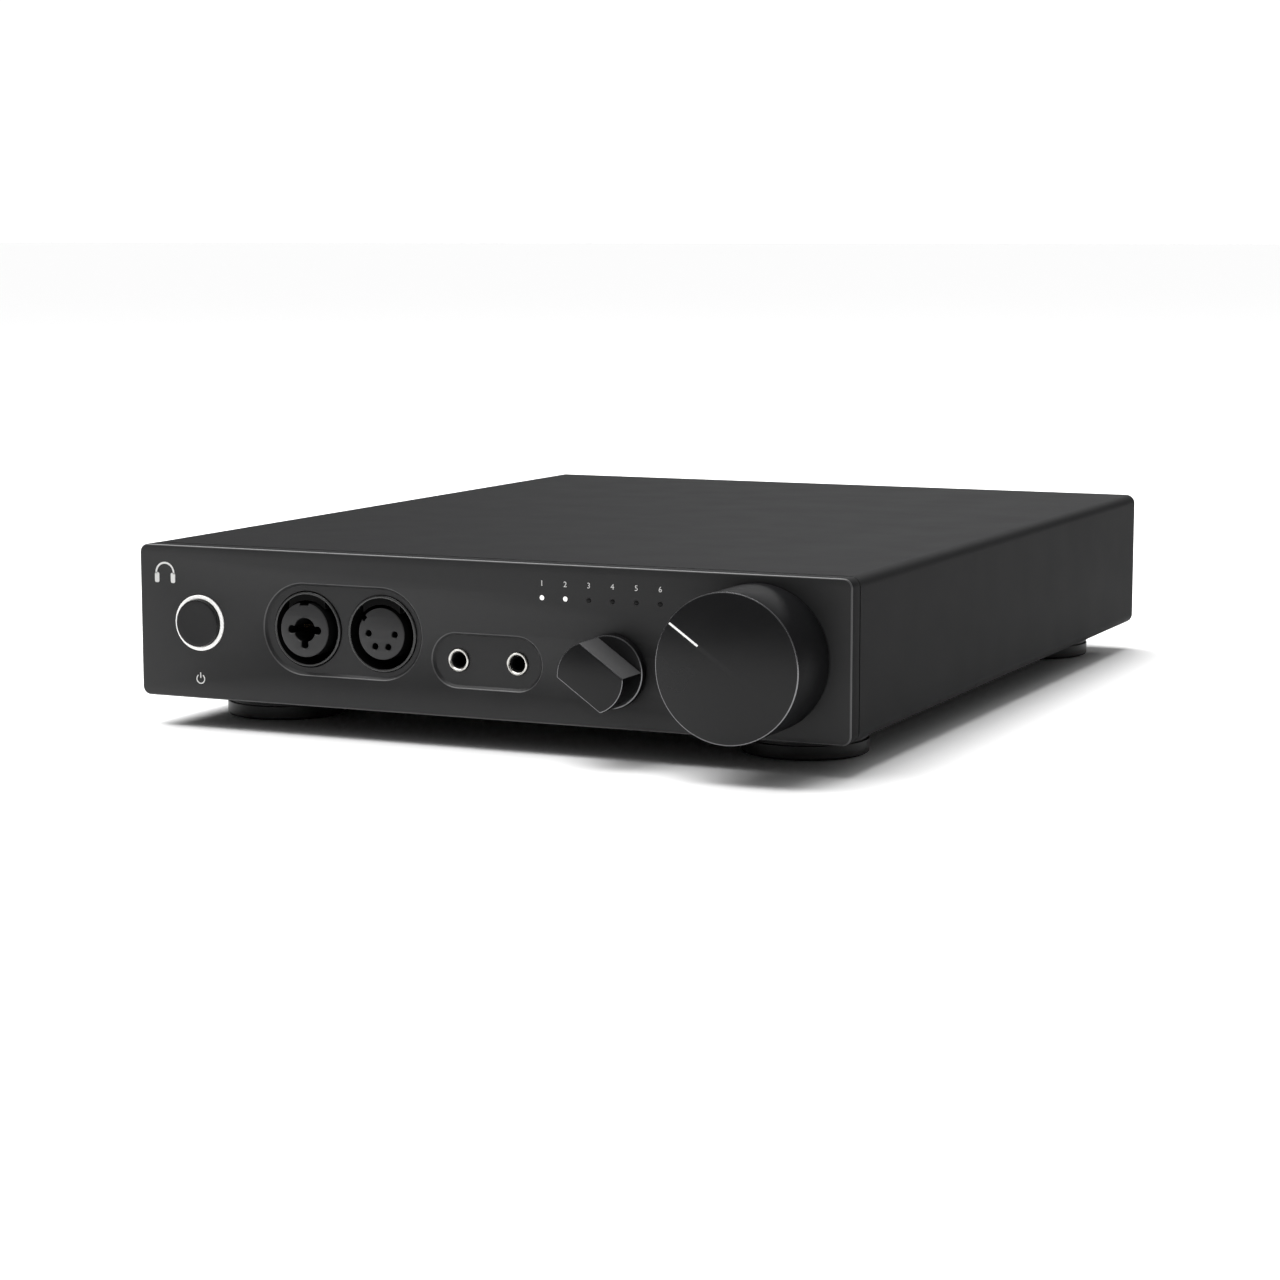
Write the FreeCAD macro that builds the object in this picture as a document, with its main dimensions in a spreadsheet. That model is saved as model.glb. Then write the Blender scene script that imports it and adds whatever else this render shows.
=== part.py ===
import FreeCAD, Part
import math
import os
import Sketcher
from types import SimpleNamespace
from FreeCAD import Placement, Rotation, Vector

# A half-width desktop headphone amplifier and converter.
# Frame: +X right seen from the front, +Y to the back, +Z up, millimetres.
# The origin is on the table, under the middle of the whole object.
# Every piece is drawn in a frame of its own: front pieces look out of the front
# face, rear pieces look out of the rear face, and inner pieces stand upright.

DIMENSIONS = {
    # case
    "case_width": 224.0,
    "case_height": 45.0,
    "case_depth": 284.0,
    "case_wall": 3.0,
    "side_wall": 4.0,
    "case_edge": 3.0,
    "lip_width": 12.0,
    "lip_gap": 0.5,
    "plate_height": 5.0,
    "panel_depth": 6.0,
    "panel_seam": 0.5,
    "panel_corner": 2.6,
    "panel_bevel": 0.5,
    "rear_depth": 4.0,
    "boss_x": 104.5,
    "boss_low": 9.7,
    "boss_high": 38.6,
    "boss_radius": 4.0,
    "screw_radius": 1.45,
    "screw_hole": 1.6,
    "screw_head": 2.8,
    "screw_head_rise": 1.6,
    "screw_reach": 12.0,
    "screw_thread_end": 1.0,
    "screw_drive": 1.3,
    "screw_drive_floor": 0.6,
    "close_fit": 0.05,
    "socket_fit": 0.1,
    "loose_fit": 0.2,
    "vent_x": 34.0,
    "vent_y": 150.0,
    "vent_pitch": 8.0,
    "vent_width": 3.0,
    "vent_length": 60.0,
    "vent_corner": 1.4,
    # feet
    "foot_height": 9.0,
    "foot_radius": 18.0,
    "foot_x": 84.6,
    "foot_front": 37.0,
    "foot_rear": 256.0,
    "foot_bore": 2.2,
    "pad_radius": 15.5,
    "pad_bore": 6.0,
    "pad_height": 1.6,
    "foot_step": 0.6,
    "foot_groove_width": 0.5,
    "foot_groove_depth": 1.6,
    "foot_edge": 1.2,
    "foot_rise": 0.4,
    "foot_well": 4.4,
    "foot_well_rim": 1.0,
    "foot_screw_low": 2.2,
    "foot_screw_head": 4.2,
    "foot_screw_end": 0.5,
    "foot_drive": 1.7,
    "foot_drive_floor": 3.6,
    # power button
    "button_x": -91.7,
    "middle_height": 22.4,
    "button_radius": 6.95,
    "button_reach": 1.8,
    "button_travel": 1.5,
    "ring_bore": 7.15,
    "ring_radius": 8.2,
    "ring_reach": 0.3,
    "ring_flange": 1.3,
    "ring_flange_depth": 1.5,
    "collar_start": 2.0,
    "collar_end": 3.5,
    "collar_reach": 1.6,
    "stem_radius": 2.5,
    "stem_gap": 2.2,
    "switch_width": 7.0,
    "switch_height": 1.6,
    "plunger_height": 0.5,
    "plunger_radius": 1.7,
    # headphone sockets
    "recess_depth": 1.0,
    "recess_bevel": 0.8,
    "socket_recess_x": -43.7,
    "socket_recess_width": 52.4,
    "socket_recess_height": 27.1,
    "combo_x": -55.45,
    "quad_x": -30.9,
    "combo_radius": 10.85,
    "quad_radius": 11.0,
    "shell_wall": 0.65,
    "shell_width": 24.0,
    "shell_height": 28.0,
    "combo_insert_radius": 7.9,
    "combo_insert_reach": 1.2,
    "quad_insert_radius": 7.45,
    "quad_insert_reach": -0.2,
    "plug_radius": 3.5,
    "contact_circle": 4.25,
    "contact_hole": 1.2,
    "quad_contact_hole": 0.95,
    "contact_radius": 0.7,
    "tab_half_width": 6.0,
    "socket_floor": 18.0,
    "shell_face": 0.4,
    "shell_back_wall": 1.0,
    "housing_corner": 2.0,
    "tab_face": 0.6,
    "tab_back": 10.4,
    "tab_inner": 8.5,
    "tab_play": 0.25,
    "tab_slot_depth": 12.2,
    "tab_slot_low": 7.0,
    "tab_slot_over": 0.3,
    "cut_allowance": 5.0,
    "combo_key_width": 3.0,
    "combo_key_depth": 1.4,
    "quad_key_x": -6.0,
    "quad_key_z": 4.6,
    "quad_key_width": 1.8,
    "contact_face": 5.0,
    # 4.4 mm jacks
    "jack_recess_x": 2.9,
    "jack_recess_height": 16.1,
    "jack_recess_width": 35.1,
    "jack_height": 16.3,
    "jack_left_x": -6.3,
    "jack_right_x": 12.2,
    "jack_radius": 3.25,
    "jack_bore": 2.25,
    "jack_bore_depth": 22.0,
    "jack_face": 0.3,
    "jack_lead_in": 0.3,
    "jack_edge": 0.25,
    "jack_body": 2.0,
    # knobs
    "shaft_radius": 3.0,
    "shaft_play": 0.06,
    "shaft_fit": 0.03,
    "shaft_clearance": 0.6,
    "shaft_end": 25.8,
    "shaft_edge": 0.5,
    "bush_wall": 1.5,
    "bush_front": 7.0,
    "bush_floor": 26.0,
    "selector_x": 42.2,
    "selector_height": 16.3,
    "selector_tilt": -35.0,
    "selector_base": 10.3,
    "selector_base_top": 3.4,
    "selector_grip": 9.9,
    "selector_grip_width": 12.0,
    "selector_reach": 15.4,
    "selector_bore": 11.0,
    "selector_shaft_reach": 10.8,
    "selector_switch_width": 18.0,
    "selector_switch_height": 20.0,
    "selector_switch_front": 15.0,
    "volume_x": 85.6,
    "volume_radius": 20.4,
    "volume_reach": 23.5,
    "volume_tilt": 145.0,
    "pointer_start": 9.9,
    "pointer_width": 0.8,
    "pointer_depth": 0.3,
    "pointer_margin": 0.1,
    "volume_bore": 14.0,
    "volume_hollow": 1.6,
    "volume_skirt": 3.0,
    "volume_shaft_reach": 13.8,
    "volume_pot_width": 26.0,
    "volume_pot_height": 28.0,
    "volume_pot_front": 13.0,
    "knob_gap": 0.6,
    "knob_bevel": 0.4,
    # indicators
    "lamp_first_x": 20.3,
    "lamp_pitch": 7.2,
    "lamp_height": 35.45,
    "lamp_radius": 0.7,
    "lamp_reach": 0.1,
    # boards inside
    "board_depth": 1.6,
    "front_board_back": 31.0,
    "board_level": 9.4,
    "main_board_left": -18.0,
    "main_board_right": 98.0,
    "board_front": 36.0,
    "main_board_rear": 250.0,
    "power_board_left": -98.0,
    "power_board_right": -24.0,
    "power_board_rear": 130.0,
    "front_board_margin": 1.5,
    "front_board_drop": 3.0,
    "roof_gap": 4.0,
    "post_radius": 2.6,
    "post_left": -96.5,
    "post_right": 65.0,
    "post_low": 9.0,
    "post_left_high": 37.0,
    "post_right_high": 38.0,
    "board_hole_inset": 6.0,
    "standoff_radius": 3.0,
    "link_left": -8.0,
    "link_right": 44.0,
    "link_back": 44.0,
    "link_height": 6.0,
    "chip_height": 2.0,
    "toroid_x": -60.0,
    "toroid_y": 196.0,
    "toroid_radius": 38.0,
    "toroid_height": 28.0,
    "toroid_bore": 12.0,
    "toroid_inner_edge": 3.0,
    "toroid_outer_edge": 6.0,
    "toroid_shoulder": 1.5,
    "toroid_shoulder_rise": 2.0,
    "clamp_bolt": 3.5,
    "clamp_margin": 8.0,
    "clamp_rim": 1.5,
    "clamp_crown": 2.5,
    "clamp_crown_radius": 8.0,
    "clamp_nut": 6.0,
    "capacitor_radius": 12.0,
    "capacitor_height": 28.0,
    "capacitor_x": -80.0,
    "capacitor_y": 66.0,
    "capacitor_pitch": 34.0,
    "sink_left": 72.0,
    "sink_right": 96.0,
    "sink_front": 60.0,
    "sink_back": 190.0,
    "sink_base": 3.0,
    "sink_height": 26.0,
    "fin_pitch": 4.0,
    "fin_width": 1.6,
    "transistor_left": 67.4,
    "transistor_front": 72.0,
    "transistor_pitch": 26.0,
    "transistor_width": 10.0,
    "transistor_low": 2.0,
    "transistor_high": 18.0,
    "leg_left": 69.0,
    "leg_start": 2.0,
    "leg_pitch": 2.5,
    "leg_width": 1.0,
    # rear sockets
    "rear_reach": 9.0,
    "rear_socket_play": 0.4,
    "flange_width": 26.0,
    "flange_height": 31.0,
    "flange_depth": 2.0,
    "flange_screw_x": 9.5,
    "flange_screw_z": 12.0,
    "rear_middle": 22.5,
    "xlr_first": -88.0,
    "xlr_pitch": 26.5,
    "xlr_body": 11.8,
    "xlr_bore": 9.75,
    "xlr_core": 7.45,
    "xlr_depth": 24.0,
    "xlr_cup_depth": 14.0,
    "xlr_pin_radius": 1.2,
    "xlr_ring_depth": 15.0,
    "xlr_contact_depth": 13.0,
    "release_half_width": 4.3,
    "release_low": 9.2,
    "release_high": 13.0,
    "release_step": 2.2,
    "release_back": 10.0,
    "release_face": 3.6,
    "release_slot_depth": 12.3,
    "phono_column": 13.0,
    "digital_column": 27.0,
    "usb_column": 41.5,
    "upper_row": 32.0,
    "lower_row": 12.8,
    "phono_radius": 4.15,
    "phono_body": 4.9,
    "phono_bore": 1.6,
    "phono_back": 12.0,
    "phono_nut": 6.2,
    "phono_nut_height": 1.4,
    "phono_hole_depth": 3.0,
    "phono_cup_floor": 2.0,
    "phono_wall": 0.45,
    "phono_cup_width": 1.0,
    "optical_port": 7.4,
    "optical_body": 10.0,
    "optical_back": 13.0,
    "optical_face": 1.0,
    "optical_depth": 10.0,
    "flap_half_depth": 0.3,
    "flap_drop": 0.1,
    "flap_side_play": 0.3,
    "flap_end_play": 0.5,
    "usb_width": 12.0,
    "usb_height": 11.0,
    "usb_back": 17.0,
    "usb_face": 0.8,
    "usb_depth": 10.0,
    "usb_mouth_width": 8.6,
    "usb_mouth_height": 7.9,
    "usb_tongue_width": 5.6,
    "usb_tongue_height": 3.2,
    "usb_tongue_face": 1.0,
    "inlet_x": 82.0,
    "inlet_width": 28.0,
    "inlet_height": 20.0,
    "inlet_corner": 3.0,
    "inlet_back": 17.0,
    "inlet_flange_width": 50.0,
    "inlet_flange_height": 22.0,
    "inlet_flange_corner": 9.0,
    "inlet_flange_depth": 2.4,
    "inlet_mouth_width": 24.5,
    "inlet_mouth_height": 16.5,
    "inlet_mouth_depth": 14.0,
    "inlet_screw_x": 20.0,
    "mains_pin_width": 2.0,
    "mains_pin_height": 4.0,
    "mains_pin_x": 7.0,
    "mains_pin_drop": 1.5,
    "mains_earth_rise": 4.0,
    "mains_pin_face": 1.0,
    "gain_radius": 6.0,
    "gain_back": 17.5,
    "gain_gap": 1.0,
    "gain_face": 8.5,
    "gain_mark_depth": 0.5,
    "gain_mark_start": 1.5,
    "gain_mark_half": 0.4,
    "gain_body": 12.0,
    "gain_body_back": 20.0,
    "gain_body_front": 5.0,
    "gain_bush": 3.5,
    "gain_bush_face": 0.4,
    "gain_bore_floor": 18.0,
    "gain_tilt": 150.0,
    "gain_shaft": 2.0,
}

LAMPS = 6
LIT_LAMPS = 2
VENTS = 6
FINS = 6
TRANSISTORS = 5
LEGS = 3
QUAD_CONTACT_TURNS = (180, 240, 300, 360)
# Each chip's middle on the board, as (across, back), and its side.
CHIPS = ((10, 80, 12), (10, 110, 9), (30, 80, 12), (30, 110, 9), (10, 150, 14), (36, 150, 14), (10, 200, 18),
         (40, 200, 18))


class Size:
    """A length in millimetres together with the sheet expression that gives it."""

    def __init__(self, value, text):
        self.value = value
        self.text = text

    def __add__(self, other):
        other = sized(other)
        return Size(self.value + other.value, f"({self.text} + {other.text})")

    def __radd__(self, other):
        return sized(other) + self

    def __sub__(self, other):
        other = sized(other)
        return Size(self.value - other.value, f"({self.text} - {other.text})")

    def __rsub__(self, other):
        return sized(other) - self

    def __neg__(self):
        return 0 - self

    def __mul__(self, factor):
        return Size(self.value * factor, f"({self.text} * {factor})")

    def __rmul__(self, factor):
        return self * factor

    def __truediv__(self, factor):
        return Size(self.value / factor, f"({self.text} / {factor})")


def sized(number):
    if isinstance(number, Size):
        return number
    return Size(float(number), f"({float(number):.6f})")


def bind(item, path, number):
    item.setExpression(path, sized(number).text)


doc = FreeCAD.newDocument("DesktopDac")
sheet = doc.addObject("Spreadsheet::Sheet", "Dimensions")
for row, (alias, number) in enumerate(DIMENSIONS.items(), start=1):
    sheet.set(f"A{row}", alias)
    sheet.set(f"B{row}", str(number))
    sheet.setAlias(f"B{row}", alias)
doc.recompute()
d = SimpleNamespace(**{alias: Size(number, f"Dimensions.{alias}") for alias, number in DIMENSIONS.items()})
half_width = d.case_width / 2
front_face_y = (d.volume_reach - d.case_depth - d.rear_reach) / 2
inner_length = d.case_depth - d.rear_depth
pieces = []


# Sketch shapes. Each returns a function that draws the shape, fully held by sheet expressions.

def hold(sketch, geometry, vertex, x, y):
    """Hold one point of the sketch at x and y from its origin."""
    for kind, number in (("DistanceX", x), ("DistanceY", y)):
        size = sized(number)
        rule = Sketcher.Constraint(kind, -1, 1, geometry, vertex, size.value)
        bind(sketch, f"Constraints[{sketch.addConstraint(rule)}]", size)


def flat_point(x, y):
    return Vector(sized(x).value, sized(y).value, 0)


def circle(x, y, radius):
    def draw(sketch):
        ring = sketch.addGeometry(Part.Circle(flat_point(x, y), Vector(0, 0, 1), sized(radius).value), False)
        hold(sketch, ring, 3, x, y)
        rule = Sketcher.Constraint("Radius", ring, sized(radius).value)
        bind(sketch, f"Constraints[{sketch.addConstraint(rule)}]", radius)
    return draw


def outline(*corners):
    """A closed outline of straight lines through the corners."""
    def draw(sketch):
        points = [flat_point(x, y) for x, y in corners]
        following = points[1:] + points[:1]
        lines = [sketch.addGeometry(Part.LineSegment(a, b), False) for a, b in zip(points, following)]
        for line, after, (x, y) in zip(lines, lines[1:] + lines[:1], corners):
            sketch.addConstraint(Sketcher.Constraint("Coincident", line, 2, after, 1))
            hold(sketch, line, 1, x, y)
    return draw


def box(x, y, width, height):
    """A rectangle round the centre x, y."""
    return outline((x - width / 2, y - height / 2), (x + width / 2, y - height / 2),
                   (x + width / 2, y + height / 2), (x - width / 2, y + height / 2))


def span(left, right, low, high):
    """A rectangle between its four sides."""
    return outline((left, low), (right, low), (right, high), (left, high))


def hold_centre(sketch, arc, x):
    """Hold the middle of an arc at x; its held ends settle the rest."""
    size = sized(x)
    rule = Sketcher.Constraint("DistanceX", -1, 1, arc, 3, size.value)
    bind(sketch, f"Constraints[{sketch.addConstraint(rule)}]", size)


def join_arcs(sketch, arcs, ends):
    """Close a ring of arcs with a straight line from each arc's end to the next one's start."""
    for place, arc in enumerate(arcs):
        after = (place + 1) % len(arcs)
        line = sketch.addGeometry(Part.LineSegment(ends[place][1], ends[after][0]), False)
        sketch.addConstraint(Sketcher.Constraint("Coincident", arc, 2, line, 1))
        sketch.addConstraint(Sketcher.Constraint("Coincident", line, 2, arcs[after], 1))


def rounded_box(x, y, width, height, corner):
    """A rectangle round the centre x, y with quarter-circle corners."""
    def draw(sketch):
        arcs = []
        ends = []
        for across, up, turn in ((1, -1, -90), (1, 1, 0), (-1, 1, 90), (-1, -1, 180)):
            side_x = x + across * width / 2
            side_y = y + up * height / 2
            middle_x = side_x - across * corner
            middle_y = side_y - up * corner
            on_side = (side_x, middle_y)
            on_level = (middle_x, side_y)
            start, end = (on_level, on_side) if across * up < 0 else (on_side, on_level)
            ring = Part.Circle(flat_point(middle_x, middle_y), Vector(0, 0, 1), corner.value)
            quarter = Part.ArcOfCircle(ring, math.radians(turn), math.radians(turn + 90))
            arc = sketch.addGeometry(quarter, False)
            hold(sketch, arc, 1, *start)
            hold(sketch, arc, 2, *end)
            hold_centre(sketch, arc, middle_x)
            arcs.append(arc)
            ends.append((flat_point(*start), flat_point(*end)))
        join_arcs(sketch, arcs, ends)
    return draw


def two_arcs(x, y, half_length, half_height, arc_x):
    """Two level lines joined by an arc at each end, each arc centred arc_x from the middle."""
    def draw(sketch):
        along = half_length.value - arc_x.value
        reach = math.hypot(along, half_height.value)
        opening = math.atan2(half_height.value, along)
        arcs = []
        ends = []
        for side, turn in ((1, 0), (-1, math.pi)):
            start = (x + side * half_length, y - side * half_height)
            end = (x + side * half_length, y + side * half_height)
            ring = Part.Circle(flat_point(x + side * arc_x, y), Vector(0, 0, 1), reach)
            arc = sketch.addGeometry(Part.ArcOfCircle(ring, turn - opening, turn + opening), False)
            hold(sketch, arc, 1, *start)
            hold(sketch, arc, 2, *end)
            hold_centre(sketch, arc, x + side * arc_x)
            arcs.append(arc)
            ends.append((flat_point(*start), flat_point(*end)))
        join_arcs(sketch, arcs, ends)
    return draw


def stadium(x, y, width, height):
    """Two level lines with a half circle at each end."""
    straight = (width - height) / 2
    return two_arcs(x, y, straight, height / 2, straight)


def hexagon(x, y, radius):
    turns = [math.radians(60 * corner) for corner in range(6)]
    return outline(*[(x + radius * round(math.cos(turn), 6), y + radius * round(math.sin(turn), 6))
                     for turn in turns])


# Frames. Each puts a body in place, with its origin bound to the sheet.

def placed(rotation, x, y, z):
    def place(body):
        body.Placement = Placement(Vector(), rotation)
        for axis, number in (("x", x), ("y", y), ("z", z)):
            bind(body, f"Placement.Base.{axis}", number)
    return place


def front(x=0, z=0, tilt=0):
    """Frame on the front face: x right, y up, z out towards the listener."""
    rotation = Rotation(Vector(1, 0, 0), 90) * Rotation(Vector(0, 0, 1), sized(tilt).value)
    return placed(rotation, x, front_face_y, z + d.foot_height)


def rear(u=0, z=0, tilt=0):
    """Frame on the rear face, seen from behind: x right, y up, z out to the back."""
    rotation = (Rotation(Vector(0, 0, 1), 180) * Rotation(Vector(1, 0, 0), 90)
                * Rotation(Vector(0, 0, 1), sized(tilt).value))
    return placed(rotation, 0 - sized(u), front_face_y + d.case_depth, z + d.foot_height)


def upright(x=0, y=0, level=0):
    """Frame in the case: y runs back from the front face, z up from the case's bottom."""
    return placed(Rotation(), x, front_face_y + y, level + d.foot_height)


class Piece:
    """One sub-part: a PartDesign body drawn in a frame of its own."""

    def __init__(self, name, place):
        self.name = name
        self.body = doc.addObject("PartDesign::Body", name)
        self.body.Label = name
        self.body.AllowCompound = True
        place(self.body)
        pieces.append(self)

    def sketch(self, role, level, shapes):
        sketch = self.body.newObject("Sketcher::SketchObject", f"{self.name}_sketch")
        plane = next(item for item in self.body.Origin.OriginFeatures if item.Role == role)
        sketch.AttachmentSupport = (plane, [""])
        sketch.MapMode = "FlatFace"
        bind(sketch, "AttachmentOffset.Base.z", level)
        for shape in shapes:
            shape(sketch)
        return sketch

    def feature(self, kind, sketch):
        feature = self.body.newObject(f"PartDesign::{kind}", f"{self.name}_{kind.lower()}")
        feature.Profile = sketch
        sketch.Visibility = False
        return feature

    def pad(self, low, high, *shapes):
        feature = self.feature("Pad", self.sketch("XY_Plane", low, shapes))
        bind(feature, "Length", high - low)

    def cut(self, low, high, *shapes):
        feature = self.feature("Pocket", self.sketch("XY_Plane", high, shapes))
        bind(feature, "Length", high - low)

    def turn(self, *corners):
        """Turn an outline of (radius, height) corners about the frame's z axis."""
        sketch = self.sketch("XZ_Plane", 0, [outline(*corners)])
        feature = self.feature("Revolution", sketch)
        feature.ReferenceAxis = (sketch, ["V_Axis"])
        feature.Angle = 360

    def dress(self, kind, size, wanted):
        """Add a fillet or chamfer on the edges whose middle point passes the test."""
        doc.recompute()
        tip = self.body.Tip
        names = []
        for number, edge in enumerate(tip.Shape.Edges, start=1):
            point = edge.valueAt((edge.FirstParameter + edge.LastParameter) / 2)
            if wanted(point, edge):
                names.append(f"Edge{number}")
        feature = self.body.newObject(f"PartDesign::{kind}", f"{self.name}_{kind.lower()}")
        feature.Base = (tip, names)
        bind(feature, "Radius" if kind == "Fillet" else "Size", size)


def near(value, size):
    return abs(value - sized(size).value) < 0.01


# Case

def corner_spots():
    return [(side * d.boss_x, level) for side in (-1, 1) for level in (d.boss_low, d.boss_high)]


def lamp_spots():
    return [(d.lamp_first_x + place * d.lamp_pitch, d.lamp_height) for place in range(LAMPS)]


def foot_spots():
    return [(side * d.foot_x, back) for back in (d.foot_front, d.foot_rear) for side in (-1, 1)]


def make_front_panel():
    panel = Piece("front_panel", front())
    depth = -d.panel_depth
    panel.pad(depth, sized(0), rounded_box(sized(0), d.case_height / 2, d.case_width, d.case_height,
                                           d.panel_corner))
    panel.dress("Chamfer", d.panel_bevel, lambda point, edge: near(point.z, 0))
    socket_recess = stadium(d.socket_recess_x, d.middle_height, d.socket_recess_width,
                            d.socket_recess_height)
    jack_recess = stadium(d.jack_recess_x, d.jack_height, d.jack_recess_width, d.jack_recess_height)
    panel.cut(-d.recess_depth, sized(0), socket_recess, jack_recess)
    side = (half_width - d.panel_corner).value
    low = d.panel_corner.value
    high = (d.case_height - d.panel_corner).value
    panel.dress("Chamfer", d.recess_bevel, lambda point, edge: near(point.z, 0)
                and abs(point.x) < side and low < point.y < high)
    holes = [circle(d.button_x, d.middle_height, d.ring_radius + d.close_fit)]
    holes.append(circle(d.combo_x, d.middle_height, d.quad_radius + d.socket_fit))
    holes.append(circle(d.quad_x, d.middle_height, d.quad_radius + d.socket_fit))
    jacks = (d.jack_left_x, d.jack_right_x)
    holes += [circle(x, d.jack_height, d.jack_radius + d.socket_fit) for x in jacks]
    holes.append(circle(d.selector_x, d.selector_height, d.shaft_radius + d.shaft_clearance))
    holes.append(circle(d.volume_x, d.middle_height, d.shaft_radius + d.shaft_clearance))
    holes += [circle(x, y, d.lamp_radius + d.close_fit) for x, y in lamp_spots()]
    panel.cut(depth, sized(0), *holes)


def make_case_cover():
    cover = Piece("case_cover", front())
    low = -inner_length
    high = -(d.panel_depth + d.panel_seam)
    side = half_width - d.side_wall
    lip = half_width - d.lip_width
    roof = d.case_height - d.case_wall
    cover.pad(low, high, outline(
        (-lip, 0), (-half_width, 0), (-half_width, d.case_height), (half_width, d.case_height),
        (half_width, 0), (lip, 0), (lip, d.case_wall), (side, d.case_wall), (side, roof),
        (-side, roof), (-side, d.case_wall), (-lip, d.case_wall)))
    cover.dress("Fillet", d.case_edge, lambda point, edge: edge.Length > inner_length.value / 2
                and near(abs(point.x), half_width) and (near(point.y, 0) or near(point.y, d.case_height)))
    cover.pad(low, high, *[circle(x, y, d.boss_radius) for x, y in corner_spots()])
    cover.cut(low, low + d.screw_reach,
              *[circle(x, y, d.screw_radius + d.close_fit) for x, y in corner_spots()])


def make_bottom_plate():
    plate = Piece("bottom_plate", upright())
    start = d.panel_depth + d.panel_seam
    inner = half_width - d.lip_width - d.lip_gap
    flange = half_width - d.side_wall - d.lip_gap
    plate.pad(sized(0), d.case_wall, span(-inner, inner, start, inner_length))
    plate.pad(d.case_wall, d.plate_height, span(-flange, flange, start, inner_length))
    plate.cut(sized(0), d.plate_height, *[circle(x, y, d.foot_bore) for x, y in foot_spots()])
    columns = [d.vent_x + d.vent_pitch * place for place in range(VENTS)]
    vents = [rounded_box(x, d.vent_y, d.vent_width, d.vent_length, d.vent_corner) for x in columns]
    plate.cut(sized(0), d.plate_height, *vents)


def make_rear_panel():
    panel = Piece("rear_panel", rear())
    panel.pad(-d.rear_depth, sized(0), rounded_box(sized(0), d.case_height / 2, d.case_width, d.case_height,
                                                   d.case_edge))
    panel.dress("Fillet", d.case_edge / 2, lambda point, edge: near(point.z, 0))
    holes = [circle(u, d.rear_middle, d.xlr_body + d.socket_fit) for u in xlr_columns()]
    screws = corner_spots() + flange_screw_spots() + inlet_screw_spots()
    holes += [circle(x, y, d.screw_hole) for x, y in screws]
    holes += [circle(u, z, d.phono_body + d.socket_fit) for u, z in phono_spots()]
    play = d.rear_socket_play
    holes.append(box(d.digital_column, d.lower_row, d.optical_body + play, d.optical_body + play))
    holes.append(box(d.usb_column, d.lower_row, d.usb_width + play, d.usb_height + play))
    holes.append(circle(d.usb_column, d.upper_row, d.gain_bush + d.socket_fit))
    holes.append(rounded_box(d.inlet_x, d.rear_middle, d.inlet_width + play, d.inlet_height + play,
                             d.inlet_corner))
    panel.cut(-d.rear_depth, sized(0), *holes)


def make_feet():
    names = ("foot_front_left", "foot_front_right", "foot_rear_left", "foot_rear_right")
    for name, (x, y) in zip(names, foot_spots()):
        foot = Piece(name, upright(x, y, -d.foot_height))
        radius = d.foot_radius
        top = d.foot_height
        neck = radius - d.foot_step
        low = top / 2
        high = low + d.foot_groove_width
        root = radius - d.foot_groove_depth
        pad = d.pad_radius + d.loose_fit
        well = d.pad_bore - d.foot_well_rim
        foot.turn((d.foot_bore, top), (neck, top), (neck, high), (root, high), (root, low), (radius, low),
                  (radius, d.pad_height), (radius - d.foot_edge, d.foot_rise), (pad, d.foot_rise),
                  (pad, d.pad_height), (well, d.pad_height), (well, d.foot_well), (d.foot_bore, d.foot_well))
    pads = Piece("foot_pads", upright(0, 0, -d.foot_height))
    pads.pad(sized(0), d.pad_height, *[circle(x, y, radius) for x, y in foot_spots()
                                       for radius in (d.pad_radius, d.pad_bore)])
    screws = Piece("foot_screws", upright(0, 0, -d.foot_height))
    screws.pad(d.foot_screw_low, d.foot_well, *[circle(x, y, d.foot_screw_head) for x, y in foot_spots()])
    screws.pad(d.foot_well, d.foot_height + d.plate_height - d.foot_screw_end,
               *[circle(x, y, d.foot_bore - d.loose_fit) for x, y in foot_spots()])
    screws.cut(d.foot_screw_low, d.foot_drive_floor, *[hexagon(x, y, d.foot_drive) for x, y in foot_spots()])


# Front

def make_power_button():
    ring = Piece("power_ring", front(d.button_x, d.middle_height))
    back = -d.panel_depth
    rim = d.ring_radius + d.ring_flange
    rim_back = back - d.ring_flange_depth
    ring.turn((d.ring_bore, rim_back), (rim, rim_back), (rim, back), (d.ring_radius, back),
              (d.ring_radius, d.ring_reach), (d.ring_bore, d.ring_reach))
    button = Piece("power_button", front(d.button_x, d.middle_height))
    stem_end = -(d.front_board_back - d.button_travel - d.stem_gap)
    radius = d.button_radius
    top = d.button_reach
    collar = radius + d.collar_reach
    collar_front = back - d.collar_start
    collar_back = back - d.collar_end
    button.turn((0, top), (radius - d.knob_bevel, top), (radius, top - d.knob_bevel), (radius, collar_front),
                (collar, collar_front), (collar, collar_back), (d.stem_radius, collar_back),
                (d.stem_radius, stem_end), (0, stem_end))
    switch = Piece("power_switch", front(d.button_x, d.middle_height))
    board = -d.front_board_back
    switch_top = board + d.switch_height
    switch.pad(board, switch_top, box(sized(0), sized(0), d.switch_width, d.switch_width))
    switch.pad(switch_top, switch_top + d.plunger_height, circle(sized(0), sized(0), d.plunger_radius))


def make_release_tab(name, x, radius):
    """The black tab that lets a locked plug go: a short arc at the top of the ring."""
    tab = Piece(name, front(x, d.middle_height))
    low = -d.tab_back
    high = -d.tab_face
    middle = sized(0)
    tab.pad(low, high, circle(middle, middle, radius - d.socket_fit), circle(middle, middle, d.tab_inner))
    reach = radius + d.cut_allowance
    edge = d.tab_half_width - d.socket_fit
    below = -d.cut_allowance
    tab.cut(low, high, span(-reach, reach, -reach, middle))
    tab.cut(low, high, span(-reach, -edge, below, reach), span(edge, reach, below, reach))


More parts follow.
